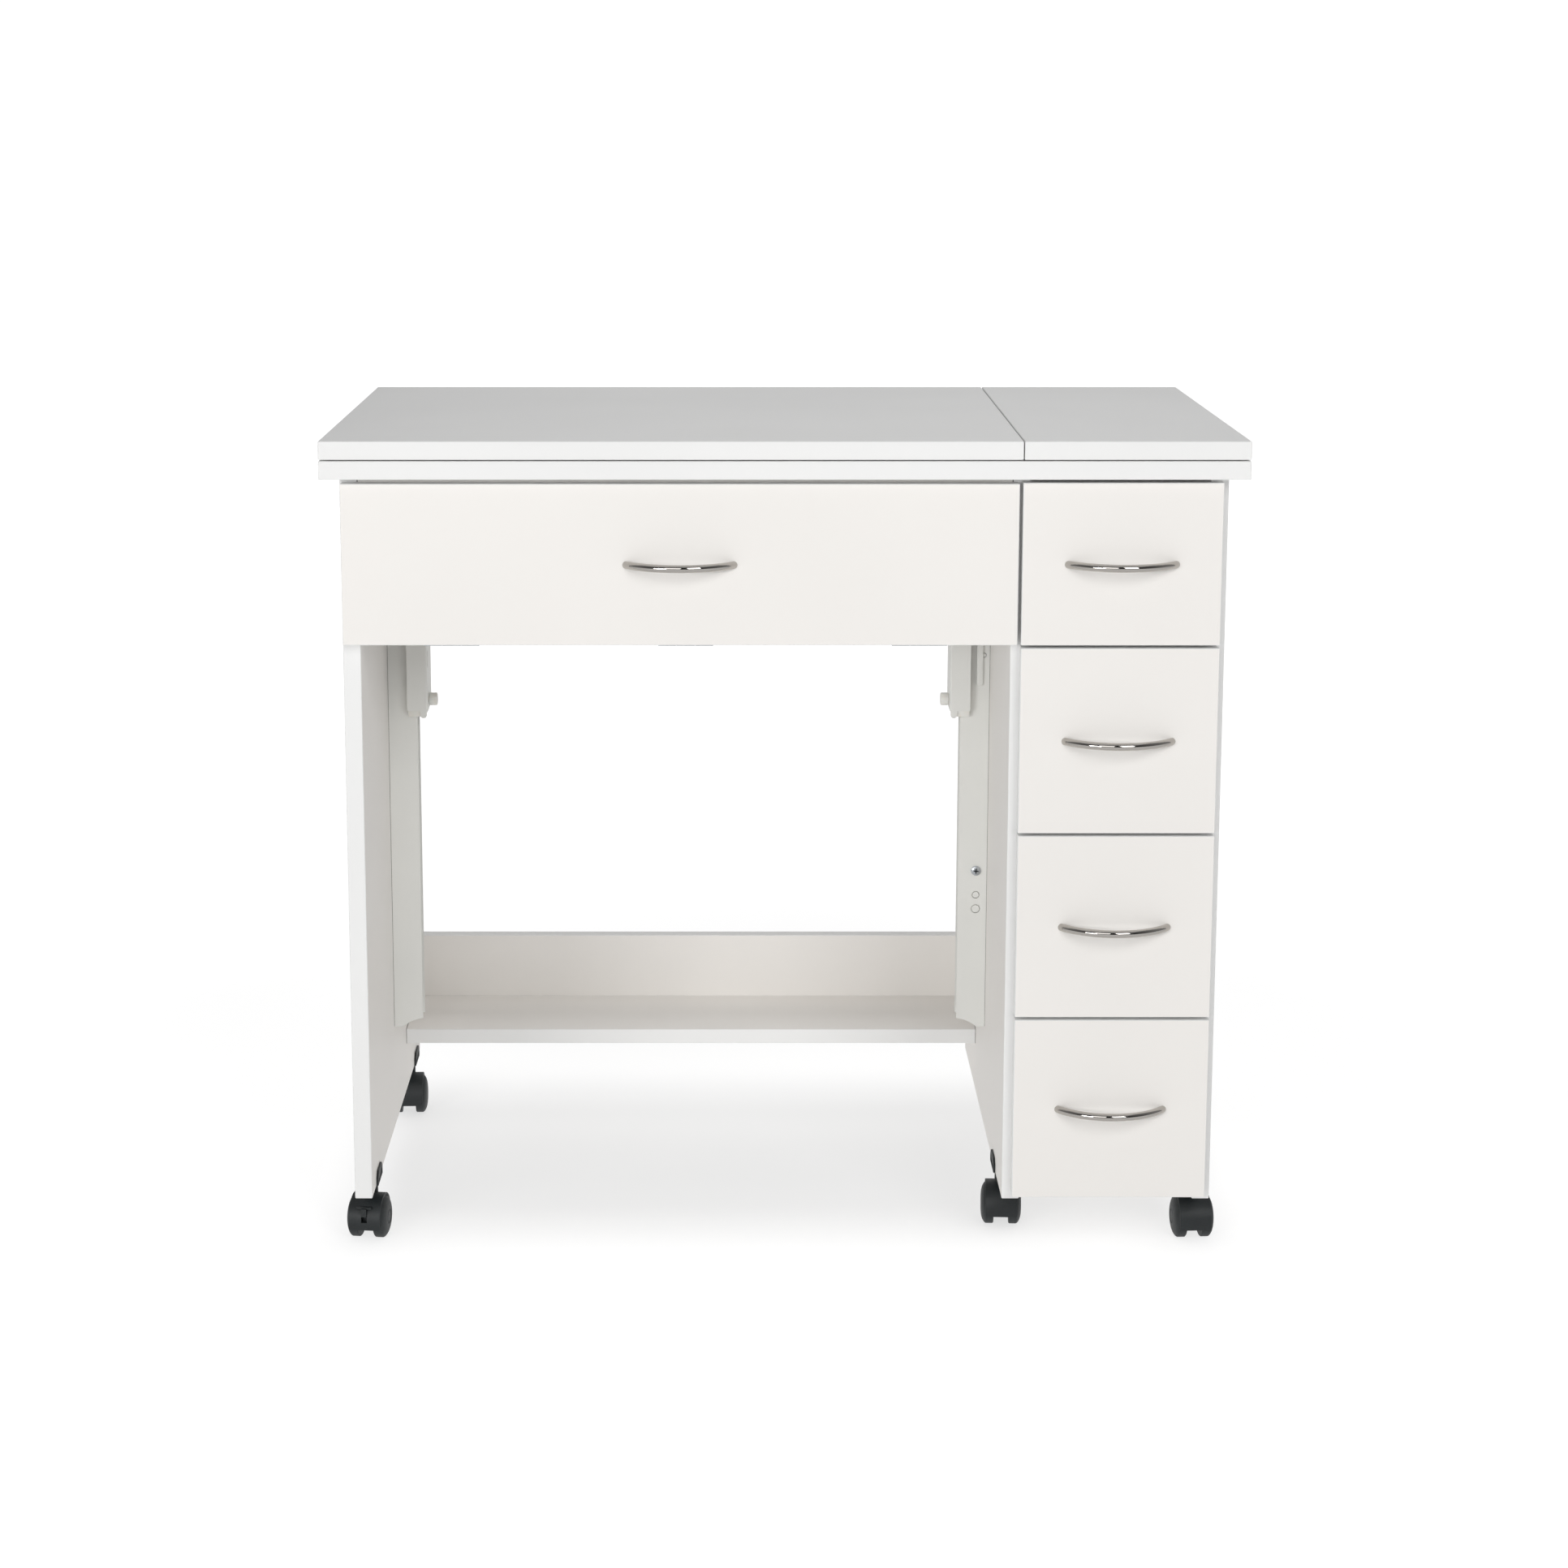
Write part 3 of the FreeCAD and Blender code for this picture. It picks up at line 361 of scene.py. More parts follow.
def bowHandleTree():
    tree, given = newTree("bowHandle", bowHandle)
    half = addNode(tree, "ShaderNodeMath", {
        0: given["centres"], 1: 0.5}, operation="MULTIPLY").outputs[0]
    halfOut = addNode(tree, "ShaderNodeMath", {0: half, 1: -1.0}, operation="MULTIPLY").outputs[0]
    crown = addNode(tree, "ShaderNodeMath", {
        0: given["rise"], 1: -1.0}, operation="MULTIPLY").outputs[0]
    start = addNode(tree, "ShaderNodeCombineXYZ", {"X": halfOut}).outputs[0]
    middle = addNode(tree, "ShaderNodeCombineXYZ", {"Y": crown}).outputs[0]
    end = addNode(tree, "ShaderNodeCombineXYZ", {"X": half}).outputs[0]
    arc = addNode(tree, "GeometryNodeCurveArc", {
        "Resolution": given["bendSteps"], "Start": start, "Middle": middle, "End": end},
        mode="POINTS")
    section = addNode(tree, "GeometryNodeCurvePrimitiveCircle", {
        "Resolution": given["rodSteps"], "Radius": given["rodRadius"]})
    isFoot = addNode(tree, "GeometryNodeCurveEndpointSelection").outputs[0]
    intoFront = addNode(tree, "ShaderNodeCombineXYZ", {"Y": given["sunk"]}).outputs[0]
    longer = addNode(tree, "GeometryNodeSetPosition", {
        "Geometry": arc.outputs[0], "Selection": isFoot, "Offset": intoFront})
    rod = addNode(tree, "GeometryNodeCurveToMesh", {
        "Curve": longer.outputs[0], "Profile Curve": section.outputs[0], "Fill Caps": True})
    here = addNode(tree, "GeometryNodeInputPosition").outputs[0]
    parts = addNode(tree, "ShaderNodeSeparateXYZ", {"Vector": here}).outputs
    flush = addNode(tree, "ShaderNodeMath", {0: parts["Y"], 1: 0.0}, operation="MINIMUM").outputs[0]
    seated = addNode(tree, "ShaderNodeCombineXYZ", {
        "X": parts["X"], "Y": flush, "Z": parts["Z"]}).outputs[0]
    cut = addNode(tree, "GeometryNodeSetPosition", {"Geometry": rod.outputs[0], "Position": seated})
    places = addNode(tree, "GeometryNodeInstanceOnPoints", {
        "Points": given["Geometry"], "Instance": cut.outputs[0]})
    closeTree(tree, places.outputs[0], given["finish"])
    return tree


def handleFeet(body):  # the two points of a front where its handle stands
    low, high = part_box(body + "_handle")
    middle = Vector(((low.x + high.x) / 2, high.y, (low.z + high.z) / 2))
    return [middle + right * side * bowHandle["centres"] / 2 for side in (-1, 1)]


def makeHandles():
    tree = bowHandleTree()
    for body in ("drop_front", *drawers):
        middle = sum(handleFeet(body), Vector()) / 2
        bow = smooth(grownPiece(body + "_bow", tree, bowHandle, [middle]), cornersOver["rod"])
        fit(bow, body, "chrome_rod", body + "_handle")


makeHandles()
print("bow handles done")

# Casters: a moulded hood over a pair of domed wheels, on a steel stem.
caster = {
    "wheelRadius": 20 * mm,
    "wheelWidth": 12 * mm,
    "space": 14.5 * mm,       # between the two wheels' inner faces
    "rimEase": 0.8 * mm,      # at the tread's inner edge
    "domeStart": 7.0 * mm,    # from the inner face
    "domeEase": 0.6 * mm,     # between the flat tread and the dome
    "domePowers": (0.9, 1.25),  # of the dome's curve across its radius and along the axle
    "domeSteps": 14,
    "hubRadius": 7 * mm,
    "hubRing": 0.5 * mm,      # depth of the groove round the hub
    "ringWalls": (0.3 * mm, 0.9 * mm, 1.3 * mm),  # groove's two walls and the cap's rim, inwards
    "capEase": 0.1 * mm,      # cap's rim below its flat
    "capFlat": 0.5,           # of the hub's radius
    "hoodWall": 2.4 * mm,
    "hoodWidth": 30 * mm,
    "play": 0.3 * mm,         # between wheels and hood
    "hoodFoot": 12.5 * mm,    # hood's lower edge above the floor
    "reach": 60 * mm,         # more than any part of a caster, for the cut along its lower edge
    "bossRadius": 6 * mm,
    "bossTop": 47 * mm,
    "stemRadius": 3.5 * mm,
    "stemFoot": 28 * mm,
    "stemTop": 74 * mm,
    "ease": 0.7 * mm, "easeOver": 35,   # hood's rounding, on corners sharper than this in degrees
    "steps": 72, "bossSteps": 40, "stemSteps": 32,
}
weldTurned = 0.01 * mm    # merge distance where a turned profile closes on itself


def spunMesh(name, profile, centre, axis, steps):  # closed profile of (radius, height), turned
    work = bmesh.new()
    across = axis.orthogonal().normalized()
    points = [work.verts.new(centre + axis * height + across * radius)
              for radius, height in profile]
    edges = [work.edges.new((points[i], points[i + 1])) for i in range(len(points) - 1)]
    bmesh.ops.spin(work, geom=points + edges, cent=centre, axis=axis, angle=math.tau, steps=steps)
    bmesh.ops.remove_doubles(work, verts=work.verts, dist=weldTurned)
    bmesh.ops.recalc_face_normals(work, faces=work.faces)
    mesh = bpy.data.meshes.new(name)
    work.to_mesh(mesh)
    work.free()
    return mesh


def drum(name, radius, length, centre, axis, steps):  # closed round bar, centred
    profile = [(0, -length / 2), (radius, -length / 2), (radius, length / 2), (0, length / 2)]
    return spunMesh(name, profile, centre, axis, steps)


def block(name, low, high):  # closed block between two corners
    work = bmesh.new()
    size = Vector(high) - Vector(low)
    place = Matrix.Translation((Vector(low) + Vector(high)) / 2) @ Matrix.Diagonal((*size, 1))
    bmesh.ops.create_cube(work, size=1, matrix=place)
    mesh = bpy.data.meshes.new(name)
    work.to_mesh(mesh)
    work.free()
    return mesh


def carve(source, tools, how, mesh):  # adds a Boolean step and keeps its hidden tool on a list
    tool = linkPiece("cutter", mesh)
    tool.hide_render = True
    step = source.modifiers.new(how.lower(), "BOOLEAN")
    step.operation = how
    step.solver = "EXACT"
    step.object = tool
    tools.append(tool)


def casterFrame(name):  # stem's foot on the floor, X along the axle, wheels towards -Y; and trail
    stem = Vector(jointNamed[name + "_swivel"]["pos_m"])
    roll = jointNamed[name + "_roll"]
    axle = Vector(roll["axis"]).normalized()
    ahead = Vector(roll["pos_m"]) - stem
    ahead.z = 0
    if axle.cross(up).dot(ahead) < 0:
        axle = -axle
    place = Matrix((axle, up.cross(axle), up)).transposed().to_4x4()
    place.translation = Vector((stem.x, stem.y, 0))
    return place, ahead.length


brakeTab = {
    "caster": "front_left",
    "barWidth": 14 * mm, "barHeight": 1.6 * mm,
    "barRise": 13.4 * mm,     # above the axle
    "barRoot": 12 * mm, "barReach": 21.4 * mm,    # ahead of the axle
    "stemWidth": 4.8 * mm, "stemLap": 0.5 * mm,   # up into the bar
    "stemRoot": 15 * mm, "stemReach": 22.9 * mm,
    "slotRise": 0.3 * mm, "slotHeight": 6.2 * mm,
    "slotLead": 1 * mm, "slotDepth": 6 * mm,      # ahead of the hood's face and into it
    "slotRoom": 0.4 * mm,     # wider than the stem, each side
}


def carveBrakeTab(hood, tools, axle, face):  # slot in the hood's face and a T-shaped tab above it
    slotFoot = axle.z + brakeTab["slotRise"]
    slotHead = slotFoot + brakeTab["slotHeight"]
    half = brakeTab["stemWidth"] / 2
    wide = half + brakeTab["slotRoom"]
    barFoot = axle.z + brakeTab["barRise"]
    barHalf = brakeTab["barWidth"] / 2
    carve(hood, tools, "DIFFERENCE", block(
        "slot", (-wide, face - brakeTab["slotLead"], slotFoot),
        (wide, face + brakeTab["slotDepth"], slotHead)))
    carve(hood, tools, "UNION", block(
        "tabStem", (-half, axle.y - brakeTab["stemReach"], slotHead - brakeTab["slotRoom"]),
        (half, axle.y - brakeTab["stemRoot"], barFoot + brakeTab["stemLap"])))
    carve(hood, tools, "UNION", block(
        "tabBar", (-barHalf, axle.y - brakeTab["barReach"], barFoot),
        (barHalf, axle.y - brakeTab["barRoot"], barFoot + brakeTab["barHeight"])))


def makeHood(name):
    place, trail = casterFrame(name)
    radius = caster["wheelRadius"] + caster["hoodWall"]
    bay = caster["wheelRadius"] + caster["play"]
    web = caster["space"] / 2 - caster["play"]
    axle = Vector((0, -trail, caster["wheelRadius"]))
    side = (caster["hoodWidth"] / 2 - web) * 2
    steps, reach = caster["steps"], caster["reach"]
    hood = linkPiece(name + "_hoodSharp",
                     drum("hood", radius, caster["hoodWidth"], axle, right, steps))
    tools = []
    for way in (-1, 1):
        middle = axle + right * way * (web + side / 2)
        carve(hood, tools, "DIFFERENCE", drum("bay", bay, side, middle, right, steps))
    rise = caster["bossTop"] - caster["wheelRadius"]
    carve(hood, tools, "UNION", drum("boss", caster["bossRadius"], rise,
                                     up * (caster["bossTop"] - rise / 2), up, caster["bossSteps"]))
    carve(hood, tools, "DIFFERENCE", block("floorCut", (-reach, -reach, -reach),
                                           (reach, reach, caster["hoodFoot"])))
    if name == brakeTab["caster"]:
        carveBrakeTab(hood, tools, axle, axle.y - radius)
    addEase(hood, caster["ease"], caster["easeOver"])
    piece = plainMesh(hood, name + "_hood")
    for tool in tools:
        bpy.data.objects.remove(tool)
    piece.data.transform(place)
    piece.data.materials.clear()
    piece.data.materials.append(blackNylon)
    smooth(piece, cornersOver["moulded"])
    fit(piece, name + "_caster", "black_nylon", name + "_caster_hood")

    length = caster["stemTop"] - caster["stemFoot"]
    stem = linkPiece(name + "_stem", drum("stem", caster["stemRadius"], length,
                                          up * (caster["stemFoot"] + length / 2), up,
                                          caster["stemSteps"]))
    stem.data.transform(place)
    stem.data.materials.append(zinc)
    smooth(stem, cornersOver["turned"])
    fit(stem, name + "_caster", "zinc_steel")


def wheelProfile():  # from the inner face's middle, round the tread and dome, to the hub's middle
    radius, width, start = caster["wheelRadius"], caster["wheelWidth"], caster["domeStart"]
    hub, rim, steps = caster["hubRadius"], caster["rimEase"], caster["domeSteps"]
    acrossPower, alongPower = caster["domePowers"]
    outerWall, innerWall, capRim = caster["ringWalls"]
    points = [(0, 0), (radius - rim, 0), (radius, rim), (radius, start - caster["domeEase"])]
    for step in range(steps + 1):
        turn = math.pi / 2 * step / steps
        points.append((hub + (radius - hub) * math.cos(turn) ** acrossPower,
                       start + (width - start) * math.sin(turn) ** alongPower))
    points += [(hub - outerWall, width - caster["hubRing"]),
               (hub - innerWall, width - caster["hubRing"]),
               (hub - capRim, width - caster["capEase"]),
               (hub * caster["capFlat"], width), (0, width)]
    return points


def makeWheels(name):
    roll = jointNamed[name + "_roll"]
    axle = Vector(roll["axis"]).normalized()
    centre = Vector(roll["pos_m"])
    work = bmesh.new()
    for side in (1, -1):
        start = centre + axle * side * caster["space"] / 2
        work.from_mesh(spunMesh(name, wheelProfile(), start, axle * side, caster["steps"]))
    mesh = bpy.data.meshes.new(name + "_wheel_pair")
    work.to_mesh(mesh)
    work.free()
    pair = linkPiece(name + "_wheel_pair", mesh)
    mesh.materials.append(tread)
    smooth(pair, cornersOver["turned"])
    fit(pair, name + "_wheels", "black_nylon", name + "_caster_wheels")


for body in frame["bodies"]:
    if body.endswith("_caster"):
        makeHood(body.removesuffix("_caster"))
        makeWheels(body.removesuffix("_caster"))
print("casters done")

# Small moulded and pressed pieces whose edges the maker rounds over.
easedNodes = {  # node: body, finish, slot, rounding
    "lift_glides": ("lift", milkNylon, "white_nylon", 1.1 * mm),
    "release_lever": ("release_lever", powder, "white_steel", 0.5 * mm),
    "caster_sockets": ("cabinet", blackNylon, "black_nylon", 0.5 * mm),
}
easedOver = 30            # degrees; corners sharper than this are rounded
weldPacked = 0.001 * mm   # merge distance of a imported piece's points
flatWithin = 0.5          # degrees between faces that count as one flat face


def packedCopy(node):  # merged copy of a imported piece, its flat faces whole again
    work = bmesh.new()
    work.from_mesh(frame["nodes"][node].data)
    bmesh.ops.remove_doubles(work, verts=work.verts, dist=weldPacked)
    bmesh.ops.dissolve_limit(work, angle_limit=math.radians(flatWithin), verts=work.verts,
                             edges=work.edges)
    mesh = bpy.data.meshes.new(node + "Copy")
    work.to_mesh(mesh)
    work.free()
    return mesh


for node, (body, finish, slot, rounding) in easedNodes.items():
    sharp = linkPiece(node + "Sharp", packedCopy(node))
    addEase(sharp, rounding, easedOver)
    piece = smooth(plainMesh(sharp, node + "_eased"), cornersOver["moulded"])
    piece.data.materials.clear()
    piece.data.materials.append(finish)
    fit(piece, body, slot, node)
print("small pieces eased")

# Screws: a domed head with a cross recess cut through it, over a dark disc of painted shade.
screw = {
    "radius": 4 * mm, "height": 2 * mm,  # of the head; each kind below has its own
    "recessLength": 1.0,    # of the head's radius
    "recessWidth": 0.24,
    "shoulder": 0.45,       # how square the dome's shoulder is; 1 is a plain ball
    "sides": 16, "rings": 8,
    "pole": 0.001,          # merge distance on a head of radius 1
    "cutter": 4.0,          # height of the recess's cutter, more than such a head's
    "discSides": 12, "discRadius": 0.75, "discDepth": 0.16,     # dark disc of painted shade in such a head
    "seed": 7,
    "finish": zinc,
    "dark": recessShadeSteel,
}


def screwTree():
    tree, given = newTree("screwHead", screw)
    ball = addNode(tree, "GeometryNodeMeshUVSphere", {
        "Segments": given["sides"], "Rings": given["rings"], "Radius": 1.0})
    here = addNode(tree, "GeometryNodeInputPosition").outputs[0]
    parts = addNode(tree, "ShaderNodeSeparateXYZ", {"Vector": here}).outputs
    above = addNode(tree, "ShaderNodeMath", {0: parts["Z"], 1: 0.0}, operation="MAXIMUM").outputs[0]
    square = addNode(tree, "ShaderNodeMath", {
        0: above, 1: given["shoulder"]}, operation="POWER").outputs[0]
    domed = addNode(tree, "ShaderNodeCombineXYZ", {
        "X": parts["X"], "Y": parts["Y"], "Z": square}).outputs[0]
    dome = addNode(tree, "GeometryNodeSetPosition", {
        "Geometry": ball.outputs["Mesh"], "Position": domed})
    merged = addNode(tree, "GeometryNodeMergeByDistance", {
        "Geometry": dome.outputs[0], "Distance": given["pole"]})
    bars = []
    for alongX, alongY in (("recessLength", "recessWidth"), ("recessWidth", "recessLength")):
        size = addNode(tree, "ShaderNodeCombineXYZ", {
            "X": given[alongX], "Y": given[alongY], "Z": given["cutter"]}).outputs[0]
        bars.append(addNode(tree, "GeometryNodeMeshCube", {"Size": size}).outputs["Mesh"])
    cross = addNode(tree, "GeometryNodeMeshBoolean", {"Mesh 2": bars[0]}, operation="UNION",
                    solver="EXACT")
    tree.links.new(bars[1], cross.inputs["Mesh 2"])
    head = addNode(tree, "GeometryNodeMeshBoolean", {
        "Mesh 1": merged.outputs[0], "Mesh 2": cross.outputs["Mesh"]},
        operation="DIFFERENCE", solver="EXACT")
    # the pit is painted shade: a dark disc under the cross that is cut right through the head
    disc = addNode(tree, "GeometryNodeMeshCylinder", {
        "Vertices": given["discSides"], "Radius": given["discRadius"],
        "Depth": given["discDepth"]})
    pit = addNode(tree, "GeometryNodeSetMaterial", {
        "Geometry": disc.outputs["Mesh"], "Material": given["dark"]})
    unit = addNode(tree, "GeometryNodeJoinGeometry", {"Geometry": head.outputs["Mesh"]})
    tree.links.new(pit.outputs[0], unit.inputs["Geometry"])
    size = addNode(tree, "ShaderNodeCombineXYZ", {
        "X": given["radius"], "Y": given["radius"], "Z": given["height"]}).outputs[0]
    scaled = addNode(tree, "GeometryNodeTransform", {"Geometry": unit.outputs[0], "Scale": size})
    axis = addNode(tree, "GeometryNodeInputNamedAttribute", {"Name": "axis"},
                   data_type="FLOAT_VECTOR").outputs["Attribute"]
    facing = addNode(tree, "FunctionNodeAlignRotationToVector", {"Vector": axis}, axis="Z")
    turn = addNode(tree, "FunctionNodeRandomValue", {
        2: 0.0, 3: math.tau, "Seed": given["seed"]}, data_type="FLOAT").outputs[1]
    spin = addNode(tree, "FunctionNodeAxisAngleToRotation", {"Axis": (0, 0, 1), "Angle": turn})
    driven = addNode(tree, "FunctionNodeRotateRotation", {
        "Rotation": facing.outputs[0], "Rotate By": spin.outputs[0]}, rotation_space="LOCAL")
    places = addNode(tree, "GeometryNodeInstanceOnPoints", {
        "Points": given["Geometry"], "Instance": scaled.outputs[0], "Rotation": driven.outputs[0]})
    closeTree(tree, places.outputs[0], given["finish"], given["dark"])
    return tree


# Round caps with an eased rim: cam covers, and plugs in the lift rail's spare holes.
roundCap = {
    "radius": 8 * mm, "height": 1 * mm,  # each kind below has its own, and its own finish
    "rim": 0.93,            # top radius, of the cap's
    "steps": 32,
    "finish": powder,
}


def capTree():
    tree, given = newTree("roundCap", roundCap)
    rimRadius = addNode(tree, "ShaderNodeMath", {
        0: given["radius"], 1: given["rim"]}, operation="MULTIPLY").outputs[0]
    cone = addNode(tree, "GeometryNodeMeshCone", {
        "Vertices": given["steps"], "Radius Top": rimRadius, "Radius Bottom": given["radius"],
        "Depth": given["height"]})
    axis = addNode(tree, "GeometryNodeInputNamedAttribute", {"Name": "axis"},
                   data_type="FLOAT_VECTOR").outputs["Attribute"]
    facing = addNode(tree, "FunctionNodeAlignRotationToVector", {"Vector": axis}, axis="Z")
    places = addNode(tree, "GeometryNodeInstanceOnPoints", {
        "Points": given["Geometry"], "Instance": cone.outputs["Mesh"],
        "Rotation": facing.outputs[0]})
    closeTree(tree, places.outputs[0], given["finish"])
    return tree


# Joint lines: a thin dark thread of painted shade laid round each end of a board that butts against a
# panel.
jointLine = {"radius": 0.32 * mm, "sides": 6, "finish": shade}
hiddenSide = {  # knock-down boards, and the side that their fittings open to
    "foot_shelf": down, "shelf_back_rail": back, "rear_top_rail": back, "front_top_rail": back,
    "front_hinge_rail": back, "pedestal_bottom_panel": down,
}


def jointLineTree():
    tree, given = newTree("jointLine", jointLine)
    path = addNode(tree, "GeometryNodeMeshToCurve", {"Mesh": given["Geometry"]})
    section = addNode(tree, "GeometryNodeCurvePrimitiveCircle", {
        "Resolution": given["sides"], "Radius": given["radius"]})
    thread = addNode(tree, "GeometryNodeCurveToMesh", {
        "Curve": path.outputs[0], "Profile Curve": section.outputs[0], "Fill Caps": True})
    closeTree(tree, thread.outputs[0], given["finish"])
    return tree


def makeJointLines():
    points, edges = [], []

    def trace(corners, closed=True):
        start = len(points)
        points.extend(corners)
        edges.extend((start + i, start + i + 1) for i in range(len(corners) - 1))
        if closed:
            edges.append((start + len(corners) - 1, start))

    for name in hiddenSide:
        low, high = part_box(name)
        for x in (low.x, high.x):
            trace([Vector((x, low.y, low.z)), Vector((x, high.y, low.z)),
                   Vector((x, high.y, high.z)), Vector((x, low.y, high.z))])
    # and a thread of painted shade down each lift rail's corner where it meets its panel
    for name, wall in (("left_lift_rail", 0), ("right_lift_rail", 1)):
        low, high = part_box(name)
        x = (low.x, high.x)[wall]
        for y in (low.y, high.y):
            trace([Vector((x, y, low.z)), Vector((x, y, high.z))], closed=False)
    lines = grownPiece("joint_lines", jointLineTree(), jointLine, points, edges=edges)
    fit(lines, "cabinet", "white_melamine")


makeJointLines()
print("joint lines done")

# Fasteners: where each kind of screw or cap sits, measured from the pieces that it holds.
screwKinds = {  # head radius, height
    "handle": (4.2 * mm, 2.2 * mm),
    "drawerFront": (3.4 * mm, 1.6 * mm),
    "hingePlate": (2.9 * mm, 0.16 * mm),    # countersunk, almost flush
    "flapHinge": (2.4 * mm, 0.5 * mm),
    "runner": (3.1 * mm, 1.1 * mm),
    "liftRail": (4.0 * mm, 1.8 * mm),
    "platform": (3.8 * mm, 1.7 * mm),
    "spring": (5.0 * mm, 2.6 * mm),
    "pivot": (4.2 * mm, 2.0 * mm),
}
screwHead, capForm = screwTree(), capTree()


def makeScrews(name, body, kind, seeds, facing):
    radius, height = screwKinds[kind]
    values = {**screw, "radius": radius, "height": height}
    heads = smooth(grownPiece(name, screwHead, values, seeds, facing), cornersOver["screw"])
    fit(heads, body, "zinc_steel")
    return heads


def makeCaps(name, seeds, facing, radius, height, finish, slot):
    values = {**roundCap, "radius": radius, "height": height, "finish": finish}
    caps = smooth(grownPiece(name, capForm, values, seeds, facing), cornersOver["moulded"])
    fit(caps, "cabinet", slot)


frontFixing = {
    "boxWall": 12 * mm,         # a drawer box's inner front, which the handle screws go through
    "sideInset": 24 * mm,       # screws that hold the overlay front, from the box's edges
    "lowInset": 24 * mm, "highInset": 18 * mm,
}


def fixFronts():
    for body in ("drop_front", *drawers):
        isDrawer = body in drawers
        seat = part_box(body + ("_front" if isDrawer else "_panel"))[1].y
        if isDrawer:
            seat += frontFixing["boxWall"]
        feet = [Vector((foot.x, seat, foot.z)) for foot in handleFeet(body)]
        makeScrews(body + "_handle_screws", body, "handle", feet, back)
        if isDrawer:
            low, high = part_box(body + "_box")
            inset = frontFixing["sideInset"]
            heights = low.z + frontFixing["lowInset"], high.z - frontFixing["highInset"]
            corners = [Vector((x, seat, z)) for x in (low.x + inset, high.x - inset)
                       for z in heights]
            makeScrews(body + "_front_screws", body, "drawerFront", corners, back)


leafFixing = {
    "fromEnd": 15 * mm,         # screws from the plates' outer end
    "plateMiddle": 30 * mm,     # each plate's middle from the pair's front or back
    "halfPitch": 20 * mm,
    "offAxis": 0.2 * mm,        # plates' inner faces from the fold's axis
}


def fixLeafHinges():
    for side, leaf in ((-1, "left_leaf"), (1, "right_leaf")):
        low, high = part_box(leaf + "_hinge_plates")
        x = (low.x if side < 0 else high.x) - side * leafFixing["fromEnd"]
        middle, half = leafFixing["plateMiddle"], leafFixing["halfPitch"]
        ys = [low.y + middle - half, low.y + middle + half,
              high.y - middle - half, high.y - middle + half]
        axisZ = jointNamed[leaf + "_fold"]["pos_m"][2]
        for name, body, way, facing in (("_plate_screws", leaf, 1, down),
                                        ("_fixed_screws", "cabinet", -1, up)):
            seeds = [Vector((x, y, axisZ + way * leafFixing["offAxis"])) for y in ys]
            makeScrews(leaf + name, body, "hingePlate", seeds, facing)


flapFixing = {
    "endMiddle": 25 * mm,       # end hinges' middles from the row's ends
    "halfPitch": 16 * mm,
    "belowTop": 8 * mm,         # screws in the drop front, from its plates' tops
    "sheet": 0.8 * mm,          # thickness of the plates under the rail
    "fromBack": 4 * mm,         # screws in those plates, from their back
}


def fixDropFrontHinges():
    low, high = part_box("drop_front_hinge_plates")
    middles = (low.x + flapFixing["endMiddle"], (low.x + high.x) / 2,
               high.x - flapFixing["endMiddle"])
    xs = [middle + side * flapFixing["halfPitch"] for middle in middles for side in (-1, 1)]
    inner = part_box("drop_front_panel")[1].y
    z = high.z - flapFixing["belowTop"]
    makeScrews("drop_front_plate_screws", "drop_front", "flapHinge",
               [Vector((x, inner, z)) for x in xs], back)
    low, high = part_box("hinge_rail_plates")
    y, z = high.y - flapFixing["fromBack"], high.z - flapFixing["sheet"]
    makeScrews("hinge_rail_plate_screws", "cabinet", "flapHinge",
               [Vector((x, y, z)) for x in xs], down)


runnerFixing = {
    "web": 1.2 * mm,            # thickness of the channel's web
    "along": (40 * mm, 200 * mm, 360 * mm),     # screws from its front end
}


def fixRunners():  # three screws in each channel, through its web into the pedestal's panels
    low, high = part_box("cabinet_drawer_runners")
    seeds, axes = [], []
    for drawer in drawers:
        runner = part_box(drawer + "_runners")
        z = (runner[0].z + runner[1].z) / 2
        for along in runnerFixing["along"]:
            seeds += [Vector((low.x + runnerFixing["web"], low.y + along, z)),
                      Vector((high.x - runnerFixing["web"], low.y + along, z))]
            axes += [right, left]
    makeScrews("runner_screws", "cabinet", "runner", seeds, axes)


liftFixing = {
    "web": 1.5 * mm,                        # thickness of the channel's web
    "shares": (0.05, 0.35, 0.65, 0.95),     # of the channel's height, where its screws sit
    "springAcross": 0.9 * mm, "springRise": 5.3 * mm,   # left of the pivot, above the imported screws
    "shankRadius": 2.4 * mm, "shankSteps": 24,
    "plugs": {  # name: across from the spring's screw, height above the floor, radius
        "upper": (0, 291.6 * mm, 3.2 * mm),
        "lower": (0, 277.4 * mm, 3.9 * mm),
        "lever": (5 * mm, 531.5 * mm, 2.0 * mm),
    },
    "plugSunk": 0.6 * mm, "plugHeight": 0.8 * mm,   # plug's middle behind the rail's face
    "armEnd": 15 * mm, "armTip": 14 * mm,   # platform screws from the carriage arm's ends and tip
    "armDrop": 2.0 * mm,                    # arm's underside below the platform
}


